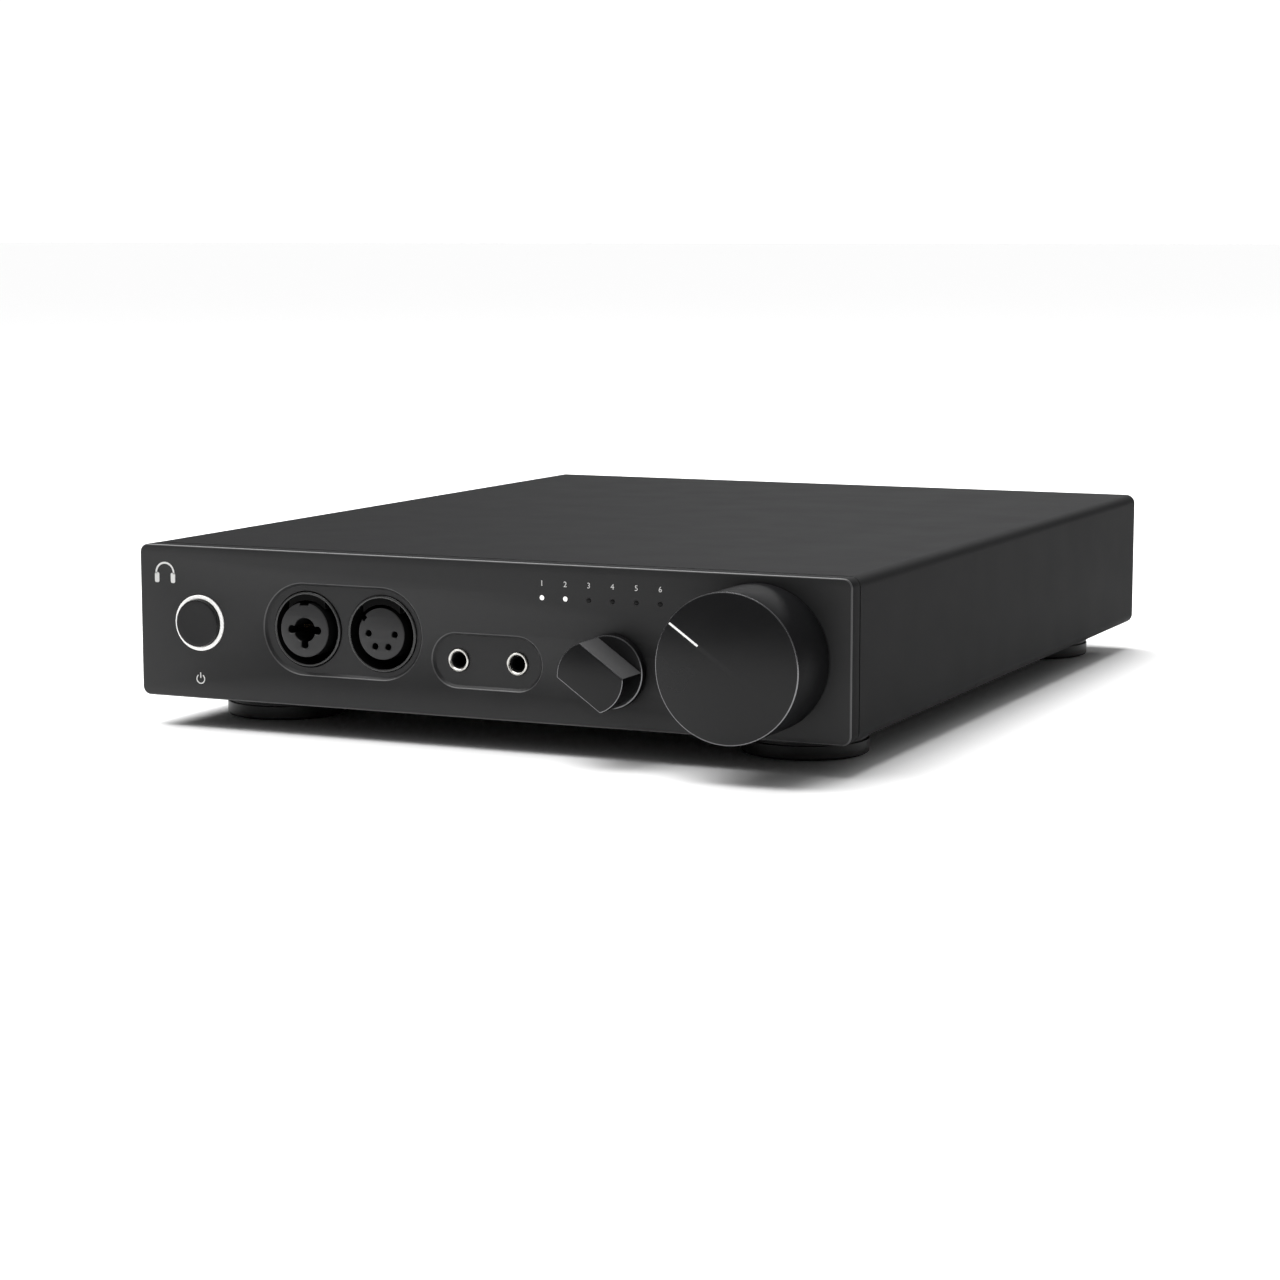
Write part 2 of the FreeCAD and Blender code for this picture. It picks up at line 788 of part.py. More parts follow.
def make_socket(name, x, radius, holes_behind):
    shell = Piece(f"{name}_shell", front(x, d.middle_height))
    back = -d.front_board_back
    face = -d.shell_face
    middle = sized(0)
    shell.pad(back, -d.panel_depth,
              rounded_box(middle, middle, d.shell_width, d.shell_height, d.housing_corner))
    shell.pad(-d.panel_depth, face, circle(middle, middle, radius))
    shell.cut(-d.socket_floor, face, circle(middle, middle, radius - d.shell_wall))
    notch = d.tab_half_width + d.tab_play
    shell.cut(-d.tab_slot_depth, face, span(-notch, notch, d.tab_slot_low, radius + d.tab_slot_over))
    if holes_behind:
        shell.cut(back + d.shell_back_wall, -d.socket_floor, circle(middle, middle, d.plug_radius))


def quad_contact_spots():
    circle_radius = d.contact_circle
    turns = [math.radians(turn) for turn in QUAD_CONTACT_TURNS]
    return [(circle_radius * round(math.cos(turn), 6), circle_radius * round(math.sin(turn), 6))
            for turn in turns]


def combo_contact_spots():
    return [(-d.contact_circle, sized(0)), (d.contact_circle, sized(0)), (sized(0), -d.contact_circle)]


def make_headphone_sockets():
    floor = -d.socket_floor
    middle = sized(0)
    make_socket("combo", d.combo_x, d.combo_radius, True)
    make_socket("quad", d.quad_x, d.quad_radius, False)
    combo = Piece("combo_insert", front(d.combo_x, d.middle_height))
    combo.pad(floor, d.combo_insert_reach, circle(middle, middle, d.combo_insert_radius))
    combo.cut(floor, d.combo_insert_reach, circle(middle, middle, d.plug_radius))
    combo.cut(floor, d.combo_insert_reach, *[circle(x, y, d.contact_hole) for x, y in combo_contact_spots()])
    combo.cut(floor, d.combo_insert_reach,
              box(middle, d.combo_insert_radius, d.combo_key_width, d.combo_key_depth))
    quad = Piece("quad_insert", front(d.quad_x, d.middle_height))
    quad.pad(floor, d.quad_insert_reach, circle(middle, middle, d.quad_insert_radius))
    quad.cut(floor, d.quad_insert_reach,
             *[circle(x, y, d.quad_contact_hole) for x, y in quad_contact_spots()])
    quad.cut(floor, d.quad_insert_reach,
             box(d.quad_key_x, d.quad_key_z, d.quad_key_width, d.quad_key_width))
    make_release_tab("combo_release", d.combo_x, d.combo_radius)
    make_release_tab("quad_release", d.quad_x, d.quad_radius)
    contacts = Piece("front_contacts", front(0, d.middle_height))
    spots = [(d.combo_x + x, y) for x, y in combo_contact_spots()]
    spots += [(d.quad_x + x, y) for x, y in quad_contact_spots()]
    contacts.pad(floor, -d.contact_face, *[circle(x, y, d.contact_radius) for x, y in spots])


def make_jacks():
    for name, x in (("jack_left", d.jack_left_x), ("jack_right", d.jack_right_x)):
        jack = Piece(name, front(x, d.jack_height))
        bore = d.jack_bore
        outer = d.jack_radius
        face = -d.jack_face
        body = outer + d.jack_body
        jack.turn((bore, -d.jack_bore_depth), (bore, face - d.jack_lead_in), (bore + d.jack_lead_in, face),
                  (outer - d.jack_edge, face), (outer, face - d.jack_edge), (outer, -d.panel_depth),
                  (body, -d.panel_depth), (body, -d.front_board_back), (0, -d.front_board_back),
                  (0, -d.jack_bore_depth))


def make_shaft(name, place, reach):
    shaft = Piece(name, place)
    radius = d.shaft_radius
    shaft.turn((0, -d.shaft_end), (radius, -d.shaft_end), (radius, reach - d.shaft_edge),
               (radius - d.shaft_edge, reach), (0, reach))


def make_control(name, place, width, height, body_front):
    """A switch or potentiometer on the front board, with the bush that its shaft turns in."""
    control = Piece(name, place)
    middle = sized(0)
    control.pad(-d.front_board_back, body_front, box(middle, middle, width, height))
    control.pad(body_front, -d.bush_front, circle(middle, middle, d.shaft_radius + d.bush_wall))
    control.cut(-d.bush_floor, -d.bush_front, circle(middle, middle, d.shaft_radius + d.shaft_play))


def make_selector():
    place = front(d.selector_x, d.selector_height, d.selector_tilt)
    knob = Piece("selector_knob", place)
    middle = sized(0)
    knob.pad(d.knob_gap, d.selector_base_top, circle(middle, middle, d.selector_base))
    grip = math.sqrt(d.selector_grip.value ** 2 - (d.selector_grip_width.value / 2) ** 2)
    knob.pad(d.selector_base_top, d.selector_reach,
             two_arcs(middle, middle, sized(grip), d.selector_grip_width / 2, middle))
    knob.dress("Chamfer", d.knob_bevel / 2, lambda point, edge: near(point.z, d.selector_reach)
               or (near(point.z, d.selector_base_top) and near(math.hypot(point.x, point.y), d.selector_base)))
    knob.cut(d.knob_gap, d.selector_bore, circle(middle, middle, d.shaft_radius + d.shaft_fit))
    make_shaft("selector_shaft", place, d.selector_shaft_reach)
    make_control("selector_switch", front(d.selector_x, d.selector_height), d.selector_switch_width,
                 d.selector_switch_height, -d.selector_switch_front)


def make_volume():
    place = front(d.volume_x, d.middle_height, d.volume_tilt)
    knob = Piece("volume_knob", place)
    top = d.volume_reach
    radius = d.volume_radius
    bevel = d.knob_bevel
    bore = d.shaft_radius + d.shaft_fit
    hollow = radius - d.volume_skirt
    knob.turn((0, d.volume_bore), (bore, d.volume_bore), (bore, d.volume_hollow),
              (hollow, d.volume_hollow), (hollow, d.knob_gap), (radius, d.knob_gap), (radius, top - bevel),
              (radius - bevel, top), (0, top))
    pointer_end = radius - bevel - d.pointer_margin
    half = d.pointer_width / 2
    slot = span(d.pointer_start, pointer_end, -half, half)
    knob.cut(top - d.pointer_depth, top, slot)
    pointer = Piece("volume_pointer", place)
    pointer.pad(top - d.pointer_depth, top, slot)
    make_shaft("volume_shaft", place, d.volume_shaft_reach)
    make_control("volume_pot", front(d.volume_x, d.middle_height), d.volume_pot_width, d.volume_pot_height,
                 -d.volume_pot_front)


def make_indicators():
    spots = lamp_spots()
    for name, chosen in (("lit_lenses", spots[:LIT_LAMPS]), ("dark_lenses", spots[LIT_LAMPS:])):
        lenses = Piece(name, front())
        lenses.pad(-d.front_board_back, d.lamp_reach, *[circle(x, y, d.lamp_radius) for x, y in chosen])


# Inside

def make_boards():
    back = d.front_board_back
    front_board = Piece("front_board", front())
    edge = d.boss_x - d.boss_radius - d.front_board_margin
    front_board.pad(-(back + d.board_depth), -back,
                    span(-edge, edge, d.board_level - d.front_board_drop, d.case_height - d.roof_gap))
    posts = Piece("front_posts", front())
    spots = [(d.post_left, d.post_low), (d.post_left, d.post_left_high), (d.post_right, d.post_right_high),
             (d.post_right, d.post_low)]
    posts.pad(-back, -d.panel_depth, *[hexagon(x, y, d.post_radius) for x, y in spots])
    level = d.board_level
    top = level + d.board_depth
    main_board = Piece("main_board", upright())
    main_board.pad(level, top, span(d.main_board_left, d.main_board_right, d.board_front, d.main_board_rear))
    power_board = Piece("power_board", upright())
    power_board.pad(level, top,
                    span(d.power_board_left, d.power_board_right, d.board_front, d.power_board_rear))
    inset = d.board_hole_inset
    posts_x = {main_board: (d.main_board_left + inset, d.main_board_right - inset),
               power_board: (d.power_board_left + inset, d.power_board_right - inset)}
    rears = {main_board: d.main_board_rear - inset, power_board: d.power_board_rear - inset}
    fixings = []
    for board, columns in posts_x.items():
        spots = [(x, y) for x in columns for y in (d.board_front + inset, rears[board])]
        board.cut(level, top, *[circle(x, y, d.screw_hole) for x, y in spots])
        fixings += spots
    standoffs = Piece("board_standoffs", upright())
    standoffs.pad(d.plate_height, level, *[circle(x, y, radius) for x, y in fixings
                                           for radius in (d.standoff_radius, d.screw_hole)])
    screws = Piece("board_screws", upright())
    screws.pad(d.plate_height, top, *[circle(x, y, d.screw_radius) for x, y in fixings])
    screws.pad(top, top + d.screw_head_rise, *[circle(x, y, d.screw_head) for x, y in fixings])
    screws.cut(top + d.screw_drive_floor, top + d.screw_head_rise,
               *[hexagon(x, y, d.screw_drive) for x, y in fixings])


def make_power_supply():
    level = d.plate_height
    toroid = Piece("transformer", upright(d.toroid_x, d.toroid_y, level))
    outer = d.toroid_radius
    inner = d.toroid_bore
    tall = d.toroid_height
    edge = d.toroid_outer_edge
    inner_edge = d.toroid_inner_edge
    shoulder = outer - d.toroid_shoulder
    rise = d.toroid_shoulder_rise
    toroid.turn((inner, inner_edge), (inner + inner_edge, 0), (outer - edge, 0), (shoulder, rise),
                (outer, edge), (outer, tall - edge), (shoulder, tall - rise), (outer - edge, tall),
                (inner + inner_edge, tall), (inner, tall - inner_edge))
    clamp = Piece("transformer_clamp", upright(d.toroid_x, d.toroid_y, level))
    rim = outer - d.clamp_margin
    crown = tall + d.clamp_crown
    head = tall + d.clamp_nut
    clamp.turn((0, 0), (d.clamp_bolt, 0), (d.clamp_bolt, tall), (rim, tall), (rim, tall + d.clamp_rim),
               (d.clamp_crown_radius, crown), (d.clamp_nut, crown), (d.clamp_nut, head), (0, head))
    capacitors = Piece("capacitors", upright(0, 0, d.board_level + d.board_depth))
    spots = [(x, y) for x in (d.capacitor_x, d.capacitor_x + d.capacitor_pitch)
             for y in (d.capacitor_y, d.capacitor_y + d.capacitor_pitch)]
    capacitors.pad(sized(0), d.capacitor_height, *[circle(x, y, d.capacitor_radius) for x, y in spots])


def make_amplifier():
    top = d.board_level + d.board_depth
    sink = Piece("heat_sink", upright())
    sink_base = top + d.sink_base
    sink.pad(top, sink_base, span(d.sink_left, d.sink_right, d.sink_front, d.sink_back))
    fins = [d.sink_left + d.fin_pitch * fin for fin in range(FINS)]
    sink.pad(sink_base, top + d.sink_height,
             *[span(x, x + d.fin_width, d.sink_front, d.sink_back) for x in fins])
    transistors = Piece("output_transistors", upright())
    rows = [d.transistor_front + d.transistor_pitch * place for place in range(TRANSISTORS)]
    low = top + d.transistor_low
    transistors.pad(low, top + d.transistor_high,
                    *[span(d.transistor_left, d.sink_left, y, y + d.transistor_width) for y in rows])
    legs = [y + d.leg_start + d.leg_pitch * leg for y in rows for leg in range(LEGS)]
    transistors.pad(top, low,
                    *[span(d.leg_left, d.leg_left + d.leg_width, y, y + d.leg_width) for y in legs])
    chips = Piece("board_chips", upright())
    chips.pad(top, top + d.link_height,
              span(d.link_left, d.link_right, d.front_board_back + d.board_depth, d.link_back))
    chips.pad(top, top + d.chip_height,
              *[box(sized(x), sized(y), sized(side), sized(side)) for x, y, side in CHIPS])


# Rear

def xlr_columns():
    return [d.xlr_first + place * d.xlr_pitch for place in range(4)]


def flange_screw_spots():
    spots = []
    for u in xlr_columns():
        spots.append((u - d.flange_screw_x, d.rear_middle + d.flange_screw_z))
        spots.append((u + d.flange_screw_x, d.rear_middle - d.flange_screw_z))
    return spots


def inlet_screw_spots():
    return [(d.inlet_x - d.inlet_screw_x, d.rear_middle), (d.inlet_x + d.inlet_screw_x, d.rear_middle)]


def phono_spots():
    return [(d.phono_column, d.upper_row), (d.phono_column, d.lower_row), (d.digital_column, d.upper_row)]


def start_flange(name, u):
    """The square flange and round body that both kinds of rear three-pole socket share."""
    socket = Piece(name, rear(u, d.rear_middle))
    middle = sized(0)
    socket.pad(-d.xlr_depth, sized(0), circle(middle, middle, d.xlr_body))
    socket.pad(sized(0), d.flange_depth,
               rounded_box(middle, middle, d.flange_width, d.flange_height, d.housing_corner))
    holes = [circle(-d.flange_screw_x, d.flange_screw_z, d.screw_hole)]
    holes.append(circle(d.flange_screw_x, -d.flange_screw_z, d.screw_hole))
    socket.cut(sized(0), d.flange_depth, *holes)
    return socket


def make_line_outputs():
    columns = xlr_columns()[2:]
    for name, u in zip(("xlr_out_left", "xlr_out_right"), columns):
        socket = start_flange(name, u)
        socket.cut(-d.xlr_cup_depth, d.flange_depth, circle(sized(0), sized(0), d.xlr_bore))
    pins = Piece("xlr_out_pins", rear(0, d.rear_middle))
    spots = [(u + x, y) for u in columns for x, y in combo_contact_spots()]
    pins.pad(-d.xlr_cup_depth, sized(0), *[circle(x, y, d.xlr_pin_radius) for x, y in spots])


def make_line_inputs():
    half = d.release_half_width
    columns = xlr_columns()[:2]
    cores = Piece("xlr_in_cores", rear(0, d.rear_middle))
    cores.pad(-d.xlr_ring_depth, d.flange_depth, *[circle(u, sized(0), d.xlr_core) for u in columns])
    spots = [(u + x, y) for u in columns for x, y in combo_contact_spots()]
    cores.cut(-d.xlr_contact_depth, d.flange_depth, *[circle(x, y, d.contact_hole) for x, y in spots])
    play = d.loose_fit
    for name, u in zip(("xlr_in_left", "xlr_in_right"), columns):
        socket = start_flange(name, u)
        socket.cut(-d.xlr_ring_depth, d.flange_depth, circle(sized(0), sized(0), d.xlr_bore))
        socket.cut(-d.release_slot_depth, d.flange_depth,
                   span(-half - play, half + play, d.release_low - play, d.release_high + play))
        tab = Piece(f"{name}_release", rear(u, d.rear_middle))
        step = d.release_high - d.release_step
        tab.pad(-d.release_back, d.release_face, span(-half, half, d.release_low, step))
        tab.pad(d.flange_depth + play, d.release_face, span(-half, half, step, d.release_high))


def make_phono_sockets():
    sockets = Piece("phono_sockets", rear())
    spots = phono_spots()
    sockets.pad(-d.phono_back, sized(0), *[circle(u, z, d.phono_body) for u, z in spots])
    sockets.pad(sized(0), d.phono_nut_height, *[hexagon(u, z, d.phono_nut) for u, z in spots])
    sockets.pad(d.phono_nut_height, d.rear_reach, *[circle(u, z, d.phono_radius) for u, z in spots])
    sockets.cut(-d.phono_hole_depth, d.rear_reach, *[circle(u, z, d.phono_bore) for u, z in spots])
    cup = (d.phono_radius - d.phono_wall, d.phono_radius - d.phono_cup_width)
    sockets.cut(d.phono_cup_floor, d.rear_reach, *[circle(u, z, radius) for u, z in spots for radius in cup])


def make_digital_sockets():
    optical = Piece("optical_socket", rear(d.digital_column, d.lower_row))
    middle = sized(0)
    port = d.optical_port
    optical.pad(-d.optical_back, d.optical_face, box(middle, middle, d.optical_body, d.optical_body))
    optical.cut(-d.optical_depth, d.optical_face, box(middle, middle, port, port))
    flap = Piece("optical_flap", rear(d.digital_column, d.lower_row))
    flap.pad(-d.flap_half_depth, d.flap_half_depth,
             box(middle, -d.flap_drop, port - d.flap_side_play, port - d.flap_end_play))
    usb = Piece("usb_socket", rear(d.usb_column, d.lower_row))
    usb.pad(-d.usb_back, d.usb_face, box(middle, middle, d.usb_width, d.usb_height))
    usb.cut(-d.usb_depth, d.usb_face, box(middle, middle, d.usb_mouth_width, d.usb_mouth_height))
    usb.pad(-d.usb_depth, -d.usb_tongue_face, box(middle, middle, d.usb_tongue_width, d.usb_tongue_height))


def make_mains_inlet():
    inlet = Piece("mains_inlet", rear(d.inlet_x, d.rear_middle))
    middle = sized(0)
    face = d.inlet_flange_depth
    inlet.pad(-d.inlet_back, sized(0),
              rounded_box(middle, middle, d.inlet_width, d.inlet_height, d.inlet_corner))
    inlet.pad(sized(0), face,
              rounded_box(middle, middle, d.inlet_flange_width, d.inlet_flange_height, d.inlet_flange_corner))
    inlet.cut(-d.inlet_mouth_depth, face,
              rounded_box(middle, middle, d.inlet_mouth_width, d.inlet_mouth_height, d.inlet_corner))
    inlet.cut(sized(0), face, circle(-d.inlet_screw_x, middle, d.screw_hole),
              circle(d.inlet_screw_x, middle, d.screw_hole))
    pins = Piece("mains_pins", rear(d.inlet_x, d.rear_middle))
    spots = ((-d.mains_pin_x, -d.mains_pin_drop), (d.mains_pin_x, -d.mains_pin_drop),
             (middle, d.mains_earth_rise))
    pins.pad(-d.inlet_mouth_depth, -d.mains_pin_face,
             *[box(x, y, d.mains_pin_width, d.mains_pin_height) for x, y in spots])


def make_gain_control():
    middle = sized(0)
    knob = Piece("gain_knob", rear(d.usb_column, d.upper_row, d.gain_tilt))
    radius = d.gain_radius
    face = d.gain_face
    bevel = d.knob_bevel
    knob.turn((0, -d.gain_back), (d.gain_shaft, -d.gain_back), (d.gain_shaft, d.gain_gap),
              (radius, d.gain_gap), (radius, face - bevel), (radius - bevel, face), (0, face))
    knob.cut(face - d.gain_mark_depth, face,
             span(d.gain_mark_start, radius, -d.gain_mark_half, d.gain_mark_half))
    switch = Piece("gain_switch", rear(d.usb_column, d.upper_row))
    switch.pad(-d.gain_body_back, -d.gain_body_front, box(middle, middle, d.gain_body, d.gain_body))
    switch.pad(-d.gain_body_front, d.gain_bush_face, circle(middle, middle, d.gain_bush))
    switch.cut(-d.gain_bore_floor, d.gain_bush_face, circle(middle, middle, d.gain_shaft + d.shaft_play))


def make_panel_screws():
    screws = Piece("panel_screws", rear())
    groups = ((corner_spots(), sized(0), d.screw_reach - d.screw_thread_end),
              (flange_screw_spots(), d.flange_depth, d.rear_depth),
              (inlet_screw_spots(), d.inlet_flange_depth, d.rear_depth))
    for spots, level, reach in groups:
        head = level + d.screw_head_rise
        screws.pad(-reach, level, *[circle(x, y, d.screw_radius) for x, y in spots])
        screws.pad(level, head, *[circle(x, y, d.screw_head) for x, y in spots])
        screws.cut(level + d.screw_drive_floor, head, *[hexagon(x, y, d.screw_drive) for x, y in spots])


for make in (make_front_panel, make_case_cover, make_bottom_plate, make_rear_panel, make_feet,
             make_power_button, make_headphone_sockets, make_jacks, make_selector, make_volume,
             make_indicators, make_boards, make_power_supply, make_amplifier, make_line_outputs,
             make_line_inputs, make_phono_sockets, make_digital_sockets, make_mains_inlet,
             make_gain_control, make_panel_screws):
    make()
doc.recompute()

failed = [item.Name for item in doc.Objects if "Invalid" in item.State or "Error" in item.State]
if failed:
    raise RuntimeError(f"these objects failed: {failed}")
os.makedirs("parts", exist_ok=True)
for piece in pieces:
    shape = piece.body.Shape
    if shape.isNull() or not shape.isValid():
        raise RuntimeError(f"{piece.name} has no valid shape")
    shape.exportStep(f"parts/{piece.name}.step")
print(f"{len(pieces)} sub-parts written")
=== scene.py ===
import math

import bmesh
import bpy
from mathutils import Matrix, Vector
from mathutils.geometry import tessellate_polygon


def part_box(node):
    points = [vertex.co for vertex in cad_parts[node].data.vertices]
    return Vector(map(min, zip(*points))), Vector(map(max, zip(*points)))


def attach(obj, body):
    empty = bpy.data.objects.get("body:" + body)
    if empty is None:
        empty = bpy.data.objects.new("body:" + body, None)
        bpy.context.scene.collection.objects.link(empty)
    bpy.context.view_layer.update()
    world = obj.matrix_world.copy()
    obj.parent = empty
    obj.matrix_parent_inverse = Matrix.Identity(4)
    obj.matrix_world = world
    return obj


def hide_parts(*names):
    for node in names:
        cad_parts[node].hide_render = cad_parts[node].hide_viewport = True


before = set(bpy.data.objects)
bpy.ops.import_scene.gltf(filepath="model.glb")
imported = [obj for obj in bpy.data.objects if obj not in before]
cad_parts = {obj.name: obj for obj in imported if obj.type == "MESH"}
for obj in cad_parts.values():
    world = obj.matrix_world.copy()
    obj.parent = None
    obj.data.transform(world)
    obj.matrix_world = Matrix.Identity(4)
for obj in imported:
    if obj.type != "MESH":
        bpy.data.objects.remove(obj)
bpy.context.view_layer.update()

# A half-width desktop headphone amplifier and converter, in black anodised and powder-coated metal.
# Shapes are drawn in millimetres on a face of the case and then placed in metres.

MM = 0.001


# Faces of the case. A face turns (right, up, out) millimetres into the frame's metres.

panel_low, panel_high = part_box("front_panel")
rear_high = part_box("rear_panel")[1]
case_bottom = panel_low.z
CASE_WIDTH = (panel_high.x - panel_low.x) / MM
CASE_HEIGHT = (panel_high.z - panel_low.z) / MM


def face(origin, right, up, out):
    """The placing matrix of a face with that origin and those three directions."""
    columns = Matrix((right, up, out)).transposed().to_4x4()
    return Matrix.Translation(origin) @ columns @ Matrix.Scale(MM, 4)


FRONT = face((0, panel_low.y, case_bottom), (1, 0, 0), (0, 0, 1), (0, -1, 0))
REAR = face((0, rear_high.y, case_bottom), (-1, 0, 0), (0, 0, 1), (0, 1, 0))
TABLE = face((0, 0, 0), (1, 0, 0), (0, 1, 0), (0, 0, 1))


def on_front(node):
    """A front node's middle (right, up) and its reach (inner, outer) from the front face, in millimetres."""
    low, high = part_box(node)
    middle = (low + high) / 2
    across = (middle.x / MM, (middle.z - case_bottom) / MM)
    return across, ((panel_low.y - high.y) / MM, (panel_low.y - low.y) / MM)


# Outlines: closed rings of (right, up) points, anticlockwise.

def circle(middle, radius, steps=72):
    x, y = middle
    turns = [2 * math.pi * step / steps for step in range(steps)]
    return [(x + radius * math.cos(turn), y + radius * math.sin(turn)) for turn in turns]


def rounded(middle, width, height, corner, steps=10):
    x, y = middle
    points = []
    for across, up, start in ((1, 1, 0), (-1, 1, 90), (-1, -1, 180), (1, -1, 270)):
        centre_x = x + across * (width / 2 - corner)
        centre_y = y + up * (height / 2 - corner)
        for step in range(steps + 1):
            turn = math.radians(start + 90 * step / steps)
            points.append((centre_x + corner * math.cos(turn), centre_y + corner * math.sin(turn)))
    return points


def stadium(middle, width, height, steps=28):
    return rounded(middle, width, height, height / 2 - 0.001, steps)


def lobed(middle, radius, lobes, lobe_radius, steps=144):
    """A round hole joined by smaller round holes, each given by its (distance, turn in degrees)."""
    x, y = middle
    points = []
    for step in range(steps):
        turn = 2 * math.pi * step / steps
        reach = radius
        for distance, lobe_turn in lobes:
            aside = turn - math.radians(lobe_turn)
            inside = lobe_radius ** 2 - (distance * math.sin(aside)) ** 2
            if inside > 0 and math.cos(aside) > 0:
                reach = max(reach, distance * math.cos(aside) + math.sqrt(inside))
        points.append((x + reach * math.cos(turn), y + reach * math.sin(turn)))
    return points


def two_flats(radius, half_width, steps=20):
    """A circle cut by two level flats."""
    opening = math.asin(half_width / radius)
    points = []
    for start in (-opening, math.pi - opening):
        for step in range(steps + 1):
            turn = start + 2 * opening * step / steps
            points.append((radius * math.cos(turn), radius * math.sin(turn)))
    return points


def sector(middle, inner, outer, start, end, steps=40):
    """Part of a flat ring between two turns in degrees."""
    x, y = middle
    turns = [math.radians(start + (end - start) * step / steps) for step in range(steps + 1)]
    out = [(x + outer * math.cos(turn), y + outer * math.sin(turn)) for turn in turns]
    back = [(x + inner * math.cos(turn), y + inner * math.sin(turn)) for turn in reversed(turns)]
    return out + back


# Solids

# Corners closer than this, in millimetres, become one, and edges shorter than the second value are removed.
SAME_SPOT = 0.0005
SHORT_EDGE = 0.0001


class Shell:
    """A closed surface drawn from walls and flat caps at levels above a face."""

    def __init__(self):
        self.mesh = bmesh.new()

    def ring(self, outline, level):
        return [self.mesh.verts.new((x, y, level)) for x, y in outline]

    def wall(self, *steps, finish=0):
        """Join outlines of equal length, each given with its level, in one of the piece's finishes."""
        rings = [self.ring(outline, level) for outline, level in steps]
        for lower, upper in zip(rings, rings[1:]):
            for index in range(len(lower)):
                after = (index + 1) % len(lower)
                side = self.mesh.faces.new((lower[index], lower[after], upper[after], upper[index]))
                side.smooth = True
                side.material_index = finish

    def cap(self, level, outer, *holes):
        loops = [outer, *holes]
        points = [self.ring(loop, level) for loop in loops]
        verts = [vert for ring in points for vert in ring]
        for triangle in tessellate_polygon([[Vector((x, y, 0)) for x, y in loop] for loop in loops]):
            self.mesh.faces.new([verts[index] for index in triangle])

    def prism(self, outline, low, high):
        self.wall((outline, low), (outline, high))
        self.cap(low, outline)
        self.cap(high, outline)

    def turned(self, middle, profile, steps=72):
        """Turn (radius, level) corners round an axis standing on the face."""
        rings = [(circle(middle, radius, steps), level) for radius, level in profile]
        self.wall(*rings)
        self.cap(profile[0][1], rings[0][0])
        self.cap(profile[-1][1], rings[-1][0])

    def tube(self, middle, profile, steps=72):
        """Turn a closed (radius, level) outline round an axis that it doesn't touch."""
        rings = [(circle(middle, radius, steps), level) for radius, level in profile + profile[:1]]
        self.wall(*rings)

    def finish(self, name, place, turn=0, about=(0, 0), smooth=32):
        """Close the shell, turn it about a point of its face and place it."""
        bmesh.ops.remove_doubles(self.mesh, verts=self.mesh.verts, dist=SAME_SPOT)
        bmesh.ops.dissolve_degenerate(self.mesh, edges=self.mesh.edges, dist=SHORT_EDGE)
        bmesh.ops.recalc_face_normals(self.mesh, faces=self.mesh.faces)
        data = bpy.data.meshes.new(name)
        self.mesh.to_mesh(data)
        self.mesh.free()
        centre = Matrix.Translation((about[0], about[1], 0))
        data.transform(place @ centre @ Matrix.Rotation(math.radians(turn), 4, "Z") @ centre.inverted())
        data.set_sharp_from_angle(angle=math.radians(smooth))
        piece = bpy.data.objects.new(name, data)
        bpy.context.scene.collection.objects.link(piece)
        return piece


def settle(piece, material, slot, *nodes, body="chassis", others=()):
    """Finish a piece: its materials, its body and the CAD nodes it stands for. Its slot argument is not
    used.
    """
    finishes = [polygon.material_index for polygon in piece.data.polygons]
    piece.data.materials.clear()
    piece.data.materials.append(material)
    for other in others:
        piece.data.materials.append(other)
    if others:
        piece.data.polygons.foreach_set("material_index", finishes)
    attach(piece, body)
    if nodes:
        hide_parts(*nodes)
    return piece


# Repeats: a master piece stood on every spot by a node tree

def repeat_tree():
    tree = bpy.data.node_groups.new("repeat_on_spots", "GeometryNodeTree")
    face_in = tree.interface.new_socket("Spots", in_out="INPUT", socket_type="NodeSocketGeometry")
    master = tree.interface.new_socket("Master", in_out="INPUT", socket_type="NodeSocketObject")
    finish = tree.interface.new_socket("Finish", in_out="INPUT", socket_type="NodeSocketMaterial")
    tree.interface.new_socket("Pieces", in_out="OUTPUT", socket_type="NodeSocketGeometry")
    inputs = tree.nodes.new("NodeGroupInput")
    outputs = tree.nodes.new("NodeGroupOutput")
    points = tree.nodes.new("GeometryNodeMeshToPoints")
    info = tree.nodes.new("GeometryNodeObjectInfo")
    stand = tree.nodes.new("GeometryNodeInstanceOnPoints")
    real = tree.nodes.new("GeometryNodeRealizeInstances")
    paint = tree.nodes.new("GeometryNodeSetMaterial")
    link = tree.links.new
    link(inputs.outputs["Spots"], points.inputs["Mesh"])
    link(inputs.outputs["Master"], info.inputs["Object"])
    link(points.outputs["Points"], stand.inputs["Points"])
    link(info.outputs["Geometry"], stand.inputs["Instance"])
    link(stand.outputs["Instances"], real.inputs["Geometry"])
    link(real.outputs["Geometry"], paint.inputs["Geometry"])
    link(inputs.outputs["Finish"], paint.inputs["Material"])
    link(paint.outputs["Geometry"], outputs.inputs["Pieces"])
    return tree, master.identifier, finish.identifier


REPEAT, REPEAT_MASTER, REPEAT_FINISH = repeat_tree()


